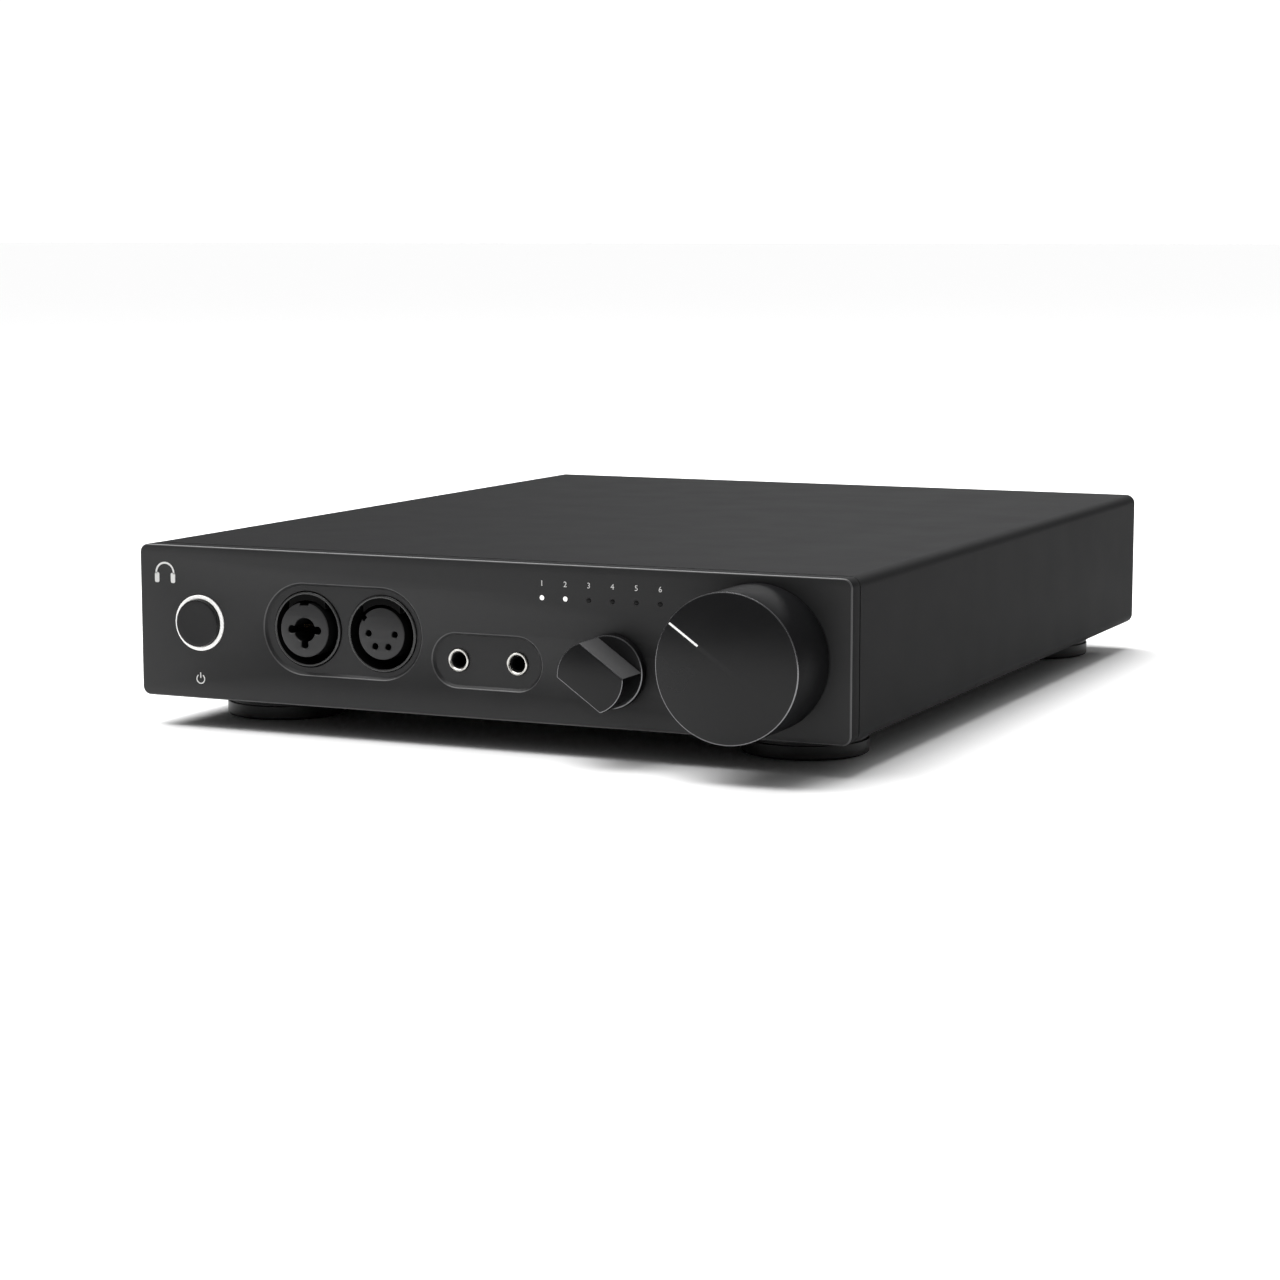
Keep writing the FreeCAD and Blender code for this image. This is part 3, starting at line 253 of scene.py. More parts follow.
def repeat(name, master, place, spots, material):
    """Stand a copy of the master, drawn at the face's origin, on every spot of that face."""
    origin = place @ Vector((0, 0, 0))
    offsets = [place @ Vector((x, y, level)) - origin for x, y, level in spots]
    data = bpy.data.meshes.new(name)
    data.from_pydata([tuple(offset) for offset in offsets], [], [])
    piece = bpy.data.objects.new(name, data)
    bpy.context.scene.collection.objects.link(piece)
    modifier = piece.modifiers.new("repeat", "NODES")
    modifier.node_group = REPEAT
    modifier[REPEAT_MASTER] = master
    modifier[REPEAT_FINISH] = material
    real = bpy.data.meshes.new_from_object(piece.evaluated_get(bpy.context.evaluated_depsgraph_get()))
    piece.modifiers.remove(modifier)
    piece.data = real
    bpy.data.objects.remove(master)
    return piece


def solids_of(node):
    """The box of each separate solid in a CAD node, as (lowest corner, highest corner)."""
    mesh = bmesh.new()
    mesh.from_mesh(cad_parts[node].data)
    bmesh.ops.remove_doubles(mesh, verts=mesh.verts, dist=0.000002)
    waiting = set(mesh.verts)
    boxes = []
    while waiting:
        group = [waiting.pop()]
        for vert in group:
            for edge in vert.link_edges:
                other = edge.other_vert(vert)
                if other in waiting:
                    waiting.remove(other)
                    group.append(other)
        spots = [vert.co for vert in group]
        low = Vector([min(spot[axis] for spot in spots) for axis in range(3)])
        high = Vector([max(spot[axis] for spot in spots) for axis in range(3)])
        boxes.append((low, high))
    mesh.free()
    return sorted(boxes, key=lambda box: tuple(round(value, 5) for value in box[0]))


# Materials

# Repeats per metre of the uneven tone and of the worn patches.
CLOUD_SCALE = 55.0
PATCH_SCALE = 420.0
WORN_EDGE = 0.22
# How much further than the uneven tone the palest grain goes.
PALE_PART = 1.6
GRAIN_STRENGTH = 0.6
LIT_COLOUR = (1.0, 0.98, 0.95, 1)


def new_material(name):
    material = bpy.data.materials.new(name)
    material.use_nodes = True
    return material, material.node_tree.nodes, material.node_tree.links.new


def noise(nodes, link, coordinates, scale, detail=3.0):
    texture = nodes.new("ShaderNodeTexNoise")
    texture.inputs["Scale"].default_value = scale
    texture.inputs["Detail"].default_value = detail
    link(coordinates, texture.inputs["Vector"])
    return texture.outputs["Fac"]


def spread(nodes, link, value, low, high, start=0.3, end=0.7):
    """Spread a value from start and end over low and high."""
    node = nodes.new("ShaderNodeMapRange")
    node.inputs["From Min"].default_value = start
    node.inputs["From Max"].default_value = end
    node.inputs["To Min"].default_value = low
    node.inputs["To Max"].default_value = high
    link(value, node.inputs["Value"])
    return node.outputs["Result"]


def blend(nodes, link, amount, first, second):
    """Mix two colours, each a fixed colour or a socket."""
    node = nodes.new("ShaderNodeMix")
    node.data_type = "RGBA"
    link(amount, node.inputs["Factor"])
    for socket, colour in (("A", first), ("B", second)):
        target = [entry for entry in node.inputs if entry.name == socket and entry.type == "RGBA"][0]
        if isinstance(colour, bpy.types.NodeSocket):
            link(colour, target)
        else:
            target.default_value = (*colour, 1)
    return [entry for entry in node.outputs if entry.type == "RGBA"][0]


def edges(nodes, link, reach, start=0.02, end=0.3):
    """1 along outer edges within a reach, and 0 on flat faces."""
    soft = nodes.new("ShaderNodeBevel")
    soft.samples = 4
    soft.inputs["Radius"].default_value = reach
    plain = nodes.new("ShaderNodeNewGeometry")
    dot = nodes.new("ShaderNodeVectorMath")
    dot.operation = "DOT_PRODUCT"
    link(soft.outputs["Normal"], dot.inputs[0])
    link(plain.outputs["Normal"], dot.inputs[1])
    return spread(nodes, link, dot.outputs["Value"], 0.0, 1.0, 1.0 - start, 1.0 - end)


def surface(name, colour, roughness, metallic=0.0, specular=0.5, grain=0.4, depth=0.02, mottle=0.12,
            wear=None, wear_amount=0.5, lit=None, streak=None):
    """
    A finish with a fine grain in millimetres, uneven tone and sheen, and paler edges.
    Streak stretches the grain along the three axes, as on turned or brushed metal.
    """
    material, nodes, link = new_material(name)
    shader = nodes["Principled BSDF"]
    where = nodes.new("ShaderNodeTexCoord").outputs["Object"]
    stretched = where
    if streak:
        mapping = nodes.new("ShaderNodeMapping")
        mapping.inputs["Scale"].default_value = streak
        link(where, mapping.inputs["Vector"])
        stretched = mapping.outputs["Vector"]
    fine = noise(nodes, link, stretched, 1 / (grain * MM), 4.0)
    cloud = noise(nodes, link, where, CLOUD_SCALE, 4.0)
    dark = tuple(value * (1 - mottle) for value in colour)
    light = tuple(value * (1 + mottle) for value in colour)
    tone = blend(nodes, link, spread(nodes, link, cloud, 0.0, 1.0), dark, light)
    pale = tuple(value * (1 + mottle * PALE_PART) for value in colour)
    tone = blend(nodes, link, spread(nodes, link, fine, 0.0, 0.8, 0.5, 0.85), tone, pale)
    if wear:
        rub = edges(nodes, link, WORN_EDGE * MM)
        patch = spread(nodes, link, noise(nodes, link, where, PATCH_SCALE), 0.35, 1.0, 0.35, 0.65)
        both = nodes.new("ShaderNodeMath")
        both.operation = "MULTIPLY"
        link(rub, both.inputs[0])
        link(patch, both.inputs[1])
        amount = nodes.new("ShaderNodeMath")
        amount.operation = "MULTIPLY"
        link(both.outputs[0], amount.inputs[0])
        amount.inputs[1].default_value = wear_amount
        tone = blend(nodes, link, amount.outputs[0], tone, wear)
    link(tone, shader.inputs["Base Color"])
    low, high = roughness
    link(spread(nodes, link, cloud, low, high), shader.inputs["Roughness"])
    bump = nodes.new("ShaderNodeBump")
    bump.inputs["Strength"].default_value = GRAIN_STRENGTH
    bump.inputs["Distance"].default_value = depth * MM
    link(fine, bump.inputs["Height"])
    link(bump.outputs["Normal"], shader.inputs["Normal"])
    shader.inputs["Metallic"].default_value = metallic
    shader.inputs["Specular IOR Level"].default_value = specular
    if lit:
        shader.inputs["Emission Color"].default_value = LIT_COLOUR
        shader.inputs["Emission Strength"].default_value = lit
    return material


front_black = surface("blasted front black", (0.0135, 0.0135, 0.014), (0.42, 0.47), specular=0.27,
                      grain=0.35, depth=0.012, mottle=0.08, wear=(0.06, 0.06, 0.06), wear_amount=0.5)
cover_black = surface("coated cover black", (0.0135, 0.0135, 0.014), (0.56, 0.60), specular=0.025,
                      grain=0.6, depth=0.02, mottle=0.06, wear=(0.06, 0.06, 0.06), wear_amount=0.5)
knob_black = surface("turned knob black", (0.0058, 0.0058, 0.0062), (0.27, 0.32), specular=0.20,
                     grain=0.3, depth=0.006, mottle=0.10, wear=(0.20, 0.20, 0.20), wear_amount=0.8)
knob_side = surface("turned side black", (0.0075, 0.0075, 0.008), (0.44, 0.50), specular=0.02,
                    grain=0.3, depth=0.006, mottle=0.08, wear=(0.06, 0.06, 0.06), wear_amount=0.3)
# A much paler copy of the knob black for the selector's two flats: a painted sheen where light falls on
# them.
flat_painted_sheen = surface("flat black with painted sheen", (0.060, 0.060, 0.061), (0.46, 0.54), specular=0.20,
                    grain=0.3, depth=0.006, mottle=0.08, wear=(0.16, 0.16, 0.16), wear_amount=0.5)
# A paler, glossier copy of the front black for the eased front edge and the recess lips: a painted highlight
# along the chamfers.
plate_edge_highlight = surface("front edge painted highlight", (0.045, 0.045, 0.046), (0.30, 0.38), specular=0.50, grain=0.3,
                     depth=0.006, mottle=0.10, wear=(0.16, 0.16, 0.16), wear_amount=0.5)
# A pale metallic copy for the knobs' chamfers: a painted highlight for their thin bright edge lines.
knob_edge_highlight = surface("knob edge painted highlight", (0.16, 0.16, 0.165), (0.22, 0.32), metallic=1.0, grain=0.25,
                   depth=0.004, mottle=0.12, wear=(0.24, 0.24, 0.24), wear_amount=0.5)
button_black = surface("button black", (0.0065, 0.0065, 0.007), (0.34, 0.40), specular=0.22,
                       grain=0.3, depth=0.008, mottle=0.10, wear=(0.22, 0.22, 0.22), wear_amount=0.7)
foot_black = surface("foot black", (0.009, 0.009, 0.0095), (0.36, 0.44), specular=0.25,
                     grain=0.35, depth=0.012, mottle=0.12, wear=(0.08, 0.08, 0.08), wear_amount=0.5)
ring_white = surface("lit ring white", (0.78, 0.78, 0.77), (0.30, 0.40), specular=0.4, grain=0.5,
                     depth=0.010, mottle=0.04, lit=0.25)
lens_white = surface("lit lens white", (0.90, 0.90, 0.88), (0.20, 0.30), grain=0.2, depth=0.004,
                     mottle=0.03, lit=0.5)
lens_dark = surface("unlit lens", (0.005, 0.005, 0.005), (0.24, 0.34), specular=0.12, grain=0.2,
                    depth=0.004, mottle=0.15)
print_white = surface("white print", (0.60, 0.60, 0.59), (0.50, 0.62), specular=0.3, grain=0.12,
                      depth=0.006, mottle=0.10)
# The pointer's faint emission is painted light: the white line is no lamp.
pointer_white = surface("white pointer", (0.80, 0.80, 0.79), (0.40, 0.50), specular=0.4, grain=0.2,
                        depth=0.006, mottle=0.05, lit=0.10)
socket_plastic = surface("moulded socket black", (0.014, 0.014, 0.0145), (0.34, 0.48), specular=0.36,
                         grain=0.28, depth=0.030, mottle=0.16, wear=(0.10, 0.10, 0.10), wear_amount=0.5)
socket_metal = surface("socket metal black", (0.012, 0.012, 0.012), (0.24, 0.34), specular=0.50,
                       grain=0.25, depth=0.010, mottle=0.14, wear=(0.30, 0.30, 0.30), wear_amount=0.8)
# Near-black for the walls of socket wells, insert holes and jack bores: painted shade inside recesses.
painted_shade_black = surface("bore black", (0.003, 0.003, 0.003), (0.50, 0.62), specular=0.06, grain=0.4,
                     depth=0.02, mottle=0.2)
latch_black = surface("latch black", (0.0030, 0.0030, 0.0030), (0.42, 0.54), specular=0.03,
                      grain=0.3, depth=0.010, mottle=0.2, wear=(0.08, 0.08, 0.08), wear_amount=0.5)
nickel = surface("bright nickel", (0.52, 0.51, 0.485), (0.20, 0.32), metallic=1.0, grain=0.3,
                 depth=0.006, mottle=0.07, wear=(0.85, 0.84, 0.82), wear_amount=0.5)
# Gold plate darkened well below plated gold: painted shade for the contacts deep in the socket holes.
gold = surface("gold plate", (0.36, 0.26, 0.13), (0.26, 0.38), metallic=1.0, grain=0.3, depth=0.008,
               mottle=0.08, wear=(0.55, 0.42, 0.24), wear_amount=0.5)
steel = surface("zinc steel", (0.48, 0.48, 0.47), (0.28, 0.42), metallic=1.0, grain=0.5, depth=0.012,
                mottle=0.12, wear=(0.70, 0.70, 0.69), wear_amount=0.5)
screw_black = surface("blackened screw", (0.030, 0.030, 0.031), (0.26, 0.38), specular=0.5, grain=0.25,
                      depth=0.010, mottle=0.18, wear=(0.26, 0.26, 0.25), wear_amount=0.8)
rubber = surface("rubber", (0.014, 0.014, 0.014), (0.62, 0.80), specular=0.25, grain=0.7, depth=0.05,
                 mottle=0.15, wear=(0.05, 0.05, 0.05), wear_amount=0.4)
board_green = surface("board lacquer", (0.012, 0.060, 0.026), (0.25, 0.40), grain=1.4, depth=0.03,
                      mottle=0.2, wear=(0.20, 0.20, 0.12), wear_amount=0.6)
part_black = surface("component black", (0.018, 0.018, 0.019), (0.40, 0.55), grain=0.3, depth=0.02,
                     mottle=0.15, wear=(0.08, 0.08, 0.08), wear_amount=0.5)
sleeve = surface("capacitor sleeve", (0.020, 0.022, 0.050), (0.22, 0.34), grain=0.8, depth=0.01,
                 mottle=0.12, wear=(0.20, 0.20, 0.24), wear_amount=0.6)
sink_grey = surface("ribbed heat sink", (0.10, 0.10, 0.105), (0.34, 0.46), metallic=0.6, grain=0.4,
                    depth=0.02, mottle=0.12, wear=(0.40, 0.40, 0.40), wear_amount=0.6)
control_grey = surface("control housing", (0.36, 0.36, 0.37), (0.26, 0.38), metallic=1.0, grain=0.3,
                       depth=0.01, mottle=0.1, wear=(0.6, 0.6, 0.6), wear_amount=0.5)
winding = surface("taped winding", (0.20, 0.085, 0.028), (0.35, 0.50), grain=0.5, depth=0.05, mottle=0.2,
                  streak=(1.0, 1.0, 6.0), wear=(0.34, 0.17, 0.07), wear_amount=0.5)

SLOT_FINISH = {
    "case_black": cover_black, "front_black": front_black, "knob_black": knob_black,
    "button_black": button_black, "ring_light": ring_white, "lens_dark": lens_dark,
    "pointer_white": pointer_white, "socket_plastic": socket_plastic, "socket_metal": socket_metal,
    "nickel": nickel, "gold": gold, "steel": steel, "screw_black": screw_black, "rubber": rubber,
    "board": board_green, "part_black": part_black, "capacitor_sleeve": sleeve, "sink": sink_grey,
    "control_metal": control_grey, "winding": winding,
}

for node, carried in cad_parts.items():
    for index, given in enumerate(carried.data.materials):
        carried.data.materials[index] = SLOT_FINISH[given.name.split(".")[0]]
        if node in ("combo_release", "quad_release"):
            carried.data.materials[index] = latch_black


# Front plate

PLATE_DEPTH = (panel_high.y - panel_low.y) / MM
PLATE_CORNER = 2.6
PLATE_EASE = 0.4
PLATE_BACK_EASE = 0.3
RECESS_DEPTH = 1.0
SOCKET_RECESS = ((-43.7, 22.4), 52.4, 27.1)
JACK_RECESS = ((2.9, 16.3), 35.1, 16.1)
# The slope into a sunk field, as (inset, level) steps: a lip in the paler finish, a painted highlight, and
# the side below it.
RECESS_LIP = ((0, 0), (0.12, -0.05), (0.32, -0.25))
RECESS_SIDE = ((0.32, -0.25), (0.8, -0.88), (0.95, -RECESS_DEPTH))
RING_HOLE = 8.25
SOCKET_HOLE = 11.1
JACK_HOLE = 3.3
LENS_HOLE = 0.71
SHAFT_HOLE = 4.0
HOLE_EASE = 0.15
LENS_HOLE_EASE = 0.04


def plate_outline(inset):
    width = CASE_WIDTH - 2 * inset
    height = CASE_HEIGHT - 2 * inset
    return rounded((0, CASE_HEIGHT / 2), width, height, PLATE_CORNER - inset)


def recess_outline(recess, inset):
    middle, width, height = recess
    return stadium(middle, width - 2 * inset, height - 2 * inset)


def lens_spots(node):
    """The middle (right, up) of each lamp lens in a node."""
    return [(((low.x + high.x) / 2) / MM, ((low.z + high.z) / 2 - case_bottom) / MM)
            for low, high in solids_of(node)]


def front_plate():
    """The front with its two sunk fields, eased edges and every hole through it."""
    plate = Shell()
    plate.wall((plate_outline(PLATE_BACK_EASE), -PLATE_DEPTH),
               (plate_outline(0), PLATE_BACK_EASE - PLATE_DEPTH),
               (plate_outline(0), -PLATE_EASE), finish=2)
    # The eased front edge takes the paler finish, a painted highlight.
    plate.wall((plate_outline(0), -PLATE_EASE),
               (plate_outline(PLATE_EASE * 0.15), -PLATE_EASE * 0.5),
               (plate_outline(PLATE_EASE * 0.5), -PLATE_EASE * 0.15),
               (plate_outline(PLATE_EASE), 0), finish=1)
    front, back = [], []

    def through(middle, radius, level, openings):
        ease = LENS_HOLE_EASE if radius == LENS_HOLE else HOLE_EASE
        mouth = circle(middle, radius + ease)
        hole = circle(middle, radius)
        plate.wall((mouth, level), (hole, level - ease), (hole, -PLATE_DEPTH))
        openings.append(mouth)
        back.append(hole)

    round_holes = [(on_front("power_ring")[0], RING_HOLE), (on_front("selector_knob")[0], SHAFT_HOLE),
                   (on_front("volume_knob")[0], SHAFT_HOLE)]
    lenses = lens_spots("lit_lenses") + lens_spots("dark_lenses")
    round_holes += [(spot, LENS_HOLE) for spot in lenses]
    for middle, radius in round_holes:
        through(middle, radius, 0, front)
    for recess, nodes, radius in ((SOCKET_RECESS, ("combo_shell", "quad_shell"), SOCKET_HOLE),
                                  (JACK_RECESS, ("jack_left", "jack_right"), JACK_HOLE)):
        # Each lip takes the paler finish, a painted highlight.
        plate.wall(*[(recess_outline(recess, inset), level) for inset, level in RECESS_LIP], finish=1)
        plate.wall(*[(recess_outline(recess, inset), level) for inset, level in RECESS_SIDE])
        front.append(recess_outline(recess, 0))
        floor = []
        for node in nodes:
            through(on_front(node)[0], radius, -RECESS_DEPTH, floor)
        plate.cap(-RECESS_DEPTH, recess_outline(recess, RECESS_SIDE[-1][0]), *floor)
    plate.cap(0, plate_outline(PLATE_EASE), *front)
    plate.cap(-PLATE_DEPTH, plate_outline(PLATE_BACK_EASE), *back)
    settle(plate.finish("front_plate", FRONT), front_black, "front_black", "front_panel",
           others=(plate_edge_highlight, cover_black))


front_plate()


# Power key

KEY_RADIUS = 6.95
# The cap's softly dished top, as (inset, drop) steps from the edge of its side and from its crown.
KEY_TOP = ((0, 0.32), (0.07, 0.12), (0.23, 0.02), (0.45, 0), (1.95, 0.05), (4.45, 0.09), (6.65, 0.1))
RING_BORE = 7.15
RING_RADIUS = 8.2
RING_FLANGE = 9.4
RING_FLANGE_DEPTH = 1.0
RING_EASE = 0.12


def power_key():
    middle, (inner, outer) = on_front("power_button")
    key = Shell()
    top = [(KEY_RADIUS - inset, outer - drop) for inset, drop in KEY_TOP]
    key.turned(middle, [(KEY_RADIUS, inner), *top], 96)
    settle(key.finish("power_key_cap", FRONT), button_black, "button_black", "power_button",
           body="power_key")
    middle, (inner, outer) = on_front("power_ring")
    step = inner + RING_FLANGE_DEPTH
    ring = Shell()
    ring.tube(middle, [(RING_BORE, inner), (RING_FLANGE, inner), (RING_FLANGE, step), (RING_RADIUS, step),
                       (RING_RADIUS, outer - RING_EASE), (RING_RADIUS - RING_EASE, outer),
                       (RING_BORE + RING_EASE, outer), (RING_BORE, outer - RING_EASE)], 96)
    settle(ring.finish("power_light_ring", FRONT), ring_white, "ring_light", "power_ring")


power_key()


# Headphone sockets

COMBO_MIDDLE = on_front("combo_shell")[0]
QUAD_MIDDLE = on_front("quad_shell")[0]
COMBO_RING = 10.85
COMBO_WELL = 10.2
COMBO_INSERT = 7.9
QUAD_RING = 11.0
QUAD_WELL = 10.3
QUAD_INSERT = 7.45
WELL_FLOOR = 4
# Rounded edges, as (aside, drop) steps from the corner that they ease.
RIM_OUTSIDE = ((0, 0.18), (0.12, 0.04), (0.25, 0))
RIM_INSIDE = ((0.15, 0), (0.04, 0.05), (0, 0.2))
INSERT_EDGE = ((0, 0.4), (0.1, 0.12), (0.4, 0))
MOUTH_DEPTH = 0.25
# Key notches, as the turn of each, its width and its depth.
COMBO_NOTCH = (90, 3.0, 0.7)
QUAD_NOTCH = (142, 1.8, 0.8)
CONTACT_REACH = 4.25
COMBO_TURNS = (180, 0, 270)
QUAD_TURNS = (180, 240, 300, 0)
PLUG_HOLE = 3.5
PLUG_MOUTH = 3.7
LOBE = 1.2
LOBE_MOUTH = 1.42
QUAD_HOLE = 0.95
QUAD_MOUTH = 1.15
COMBO_HOLE_DEPTH = 14
QUAD_HOLE_DEPTH = 9
# Half the section of a split contact, as (radius, level) corners.
CONTACT = [(0.62, -13), (0.62, -6.6), (0.5, -6.45), (0.36, -6.45), (0.36, -9)]


def socket_ring(name, node, reach, bore):
    """A socket's metal shell: a thin rim standing off the field and a well inside it whose wall is
    near-black as painted shade.
    """
    middle, (inner, outer) = on_front(node)
    steps = [(reach, inner)]
    steps += [(reach - aside, outer - drop) for aside, drop in RIM_OUTSIDE]
    steps += [(bore + aside, outer - drop) for aside, drop in RIM_INSIDE]
    well = circle(middle, bore, 96)
    rim = Shell()
    rim.cap(inner, circle(middle, reach, 96))
    rim.wall(*[(circle(middle, radius, 96), level) for radius, level in steps])
    rim.wall((well, outer - RIM_INSIDE[-1][1]), (well, inner + WELL_FLOOR), finish=1)
    rim.cap(inner + WELL_FLOOR, well)
    settle(rim.finish(name, FRONT), socket_metal, "socket_metal", node, others=(painted_shade_black,))


def notched(middle, radius, notch, count=96):
    """A circle with a square notch cut towards the middle."""
    turn, width, depth = notch
    turn = math.radians(turn)
    half = math.asin(width / 2 / radius)
    step = (2 * math.pi - 2 * half) / count
    x, y = middle
    turns = [turn + half + step * place for place in range(count + 1)]
    points = [(x + radius * math.cos(angle), y + radius * math.sin(angle)) for angle in turns]
    floor = radius * math.cos(half) - depth
    for side in (-width / 2, width / 2):
        points.append((x + floor * math.cos(turn) - side * math.sin(turn),
                       y + floor * math.sin(turn) + side * math.cos(turn)))
    return points


def socket_insert(name, node, middle, radius, notch, holes, depth):
    """A moulded insert with a key notch and blind holes, each an outline and its wider mouth. Its side and
    the holes' walls are near-black as painted shade.
    """
    low, outer = on_front(node)[1]
    edge = [(notched(middle, radius - aside, notch), outer - drop) for aside, drop in INSERT_EDGE]
    side = edge[0][0]
    moulding = Shell()
    moulding.wall((side, low), edge[0], finish=1)
    moulding.wall(*edge)
    moulding.cap(low, side)
    for hole, mouth in holes:
        moulding.wall((mouth, outer), (hole, outer - MOUTH_DEPTH))
        moulding.wall((hole, outer - MOUTH_DEPTH), (hole, outer - depth), finish=1)
        moulding.cap(outer - depth, hole)
    moulding.cap(outer, edge[-1][0], *[mouth for hole, mouth in holes])
    settle(moulding.finish(name, FRONT), socket_plastic, "socket_plastic", node, others=(painted_shade_black,))


def around(middle, reach, turn):
    x, y = middle
    return (x + reach * math.cos(math.radians(turn)), y + reach * math.sin(math.radians(turn)))


def combo_socket():
    socket_ring("combo_rim", "combo_shell", COMBO_RING, COMBO_WELL)
    lobes = [(CONTACT_REACH, turn) for turn in COMBO_TURNS]
    hole = lobed(COMBO_MIDDLE, PLUG_HOLE, lobes, LOBE)
    mouth = lobed(COMBO_MIDDLE, PLUG_MOUTH, lobes, LOBE_MOUTH)
    socket_insert("combo_moulding", "combo_insert", COMBO_MIDDLE, COMBO_INSERT, COMBO_NOTCH,
                  [(hole, mouth)], COMBO_HOLE_DEPTH)


def quad_socket():
    socket_ring("quad_rim", "quad_shell", QUAD_RING, QUAD_WELL)
    spots = [around(QUAD_MIDDLE, CONTACT_REACH, turn) for turn in QUAD_TURNS]
    holes = [(circle(spot, QUAD_HOLE, 32), circle(spot, QUAD_MOUTH, 32)) for spot in spots]
    socket_insert("quad_moulding", "quad_insert", QUAD_MIDDLE, QUAD_INSERT, QUAD_NOTCH,
                  holes, QUAD_HOLE_DEPTH)


def contacts():
    """Plated contacts at the bottom of the socket holes, their gold darkened as painted shade."""
    spots = [(*around(COMBO_MIDDLE, CONTACT_REACH, turn), 0) for turn in COMBO_TURNS]
    spots += [(*around(QUAD_MIDDLE, CONTACT_REACH, turn), 0) for turn in QUAD_TURNS]
    cup = Shell()
    cup.turned((0, 0), CONTACT, 20)
    master = cup.finish("contact_master", FRONT)
    settle(repeat("socket_contacts", master, FRONT, spots, gold), gold, "gold", "front_contacts")


combo_socket()
quad_socket()
contacts()


# Jacks

JACK_BORE = 2.25
JACK_RADIUS = 3.25
JACK_BACK = 10
# The bush's rounded face, as (radius, drop) steps from its side into its bore.
JACK_FACE = ((3.25, 0.3), (3.17, 0.12), (2.98, 0), (2.72, 0.02), (2.45, 0.25), (2.25, 0.7))
LINER_BORE = 2.0
LINER_RADIUS = 2.24
LINER_BACK = 11
LINER_MOUTH = ((2.24, 0.8), (2.0, 1.0))
JACK_STOP = (9.5, 10.5)


def jacks():
    """Two plated bushes, each with a near-black liner in its bore as painted shade."""
    for side in ("left", "right"):
        node = "jack_" + side
        middle, (inner, outer) = on_front(node)
        face = [(radius, outer - drop) for radius, drop in JACK_FACE]
        bush = Shell()
        bush.tube(middle, [(JACK_BORE, inner + JACK_BACK), (JACK_RADIUS, inner + JACK_BACK), *face], 64)
        settle(bush.finish(node + "_bush", FRONT), nickel, "nickel", node)
        mouth = [(radius, outer - drop) for radius, drop in LINER_MOUTH]
        bore = Shell()
        bore.tube(middle, [(LINER_BORE, inner + LINER_BACK), (LINER_RADIUS, inner + LINER_BACK), *mouth], 64)
        bore.turned(middle, [(LINER_RADIUS, inner + level) for level in JACK_STOP], 48)
        settle(bore.finish(node + "_bore", FRONT), painted_shade_black, "socket_plastic")


jacks()


# Selector and volume knobs

# Each knob's turn at rest, in degrees.
SELECTOR_TURN = -35
VOLUME_TURN = 145
SELECTOR_BASE_HEIGHT = 2.8
# Each knob's foot, as (radius, rise) steps from its back, and each shoulder, as (radius, drop) steps.
SELECTOR_FOOT = ((9.7, 0), (10.2, 0.2), (10.3, 0.45))
SELECTOR_SHOULDER = ((10.3, 0.35), (10.2, 0.1), (9.97, 0))
# The grip's eased top, as (radius, half width, drop) steps.
GRIP_TOP = ((9.9, 6.0, 0.24), (9.83, 5.92, 0.07), (9.66, 5.76, 0))
VOLUME_FOOT = ((19.7, 0), (20.25, 0.15), (20.4, 0.5))
VOLUME_SHOULDER = ((20.4, 0.3), (20.33, 0.1), (20.13, 0))
LINE_REACH = 14.9
LINE_LENGTH = 10.0
LINE_WIDTH = 0.6
LINE_CORNER = 0.12
LINE_DEPTH = 0.3
LINE_SINK = 0.02
KNOB_STEPS = 120
WHEEL_STEPS = 180
# A side of the grip faces the flats' way when this much of its normal does, and takes this finish, a much
# paler copy of the knob black that paints the flats' sheen.
FLAT_FACING = 0.99
FLAT_FINISH = 3


def selector():
    """A grip with two flats on a round base."""
    middle, (inner, outer) = on_front("selector_knob")
    x, y = middle
    base = inner + SELECTOR_BASE_HEIGHT
    foot = [(circle(middle, radius, KNOB_STEPS), inner + rise) for radius, rise in SELECTOR_FOOT]
    shoulder = [(circle(middle, radius, KNOB_STEPS), base - drop) for radius, drop in SELECTOR_SHOULDER]
    top = [([(x + across, y + up) for across, up in two_flats(radius, half_width)], outer - drop)
           for radius, half_width, drop in GRIP_TOP]
    grip = Shell()
    grip.wall(*foot, shoulder[0], finish=2)
    # The shoulder and the grip's top edge take the pale edge finish, a painted highlight.
    grip.wall(*shoulder, finish=1)
    grip.cap(inner, foot[0][0])
    grip.wall((top[0][0], base), top[0])
    grip.wall(*top, finish=1)
    grip.cap(base, shoulder[-1][0], top[0][0])
    grip.cap(outer, top[-1][0])
    piece = grip.finish("selector_grip", FRONT, SELECTOR_TURN, middle)
    turn = math.radians(SELECTOR_TURN + 90)
    across = Vector((math.cos(turn), 0, math.sin(turn)))
    for side in piece.data.polygons:
        if side.material_index == 0 and abs(side.normal.dot(across)) > FLAT_FACING:
            side.material_index = FLAT_FINISH
    settle(piece, knob_black, "knob_black", "selector_knob", body="selector",
           others=(knob_edge_highlight, knob_side, flat_painted_sheen))


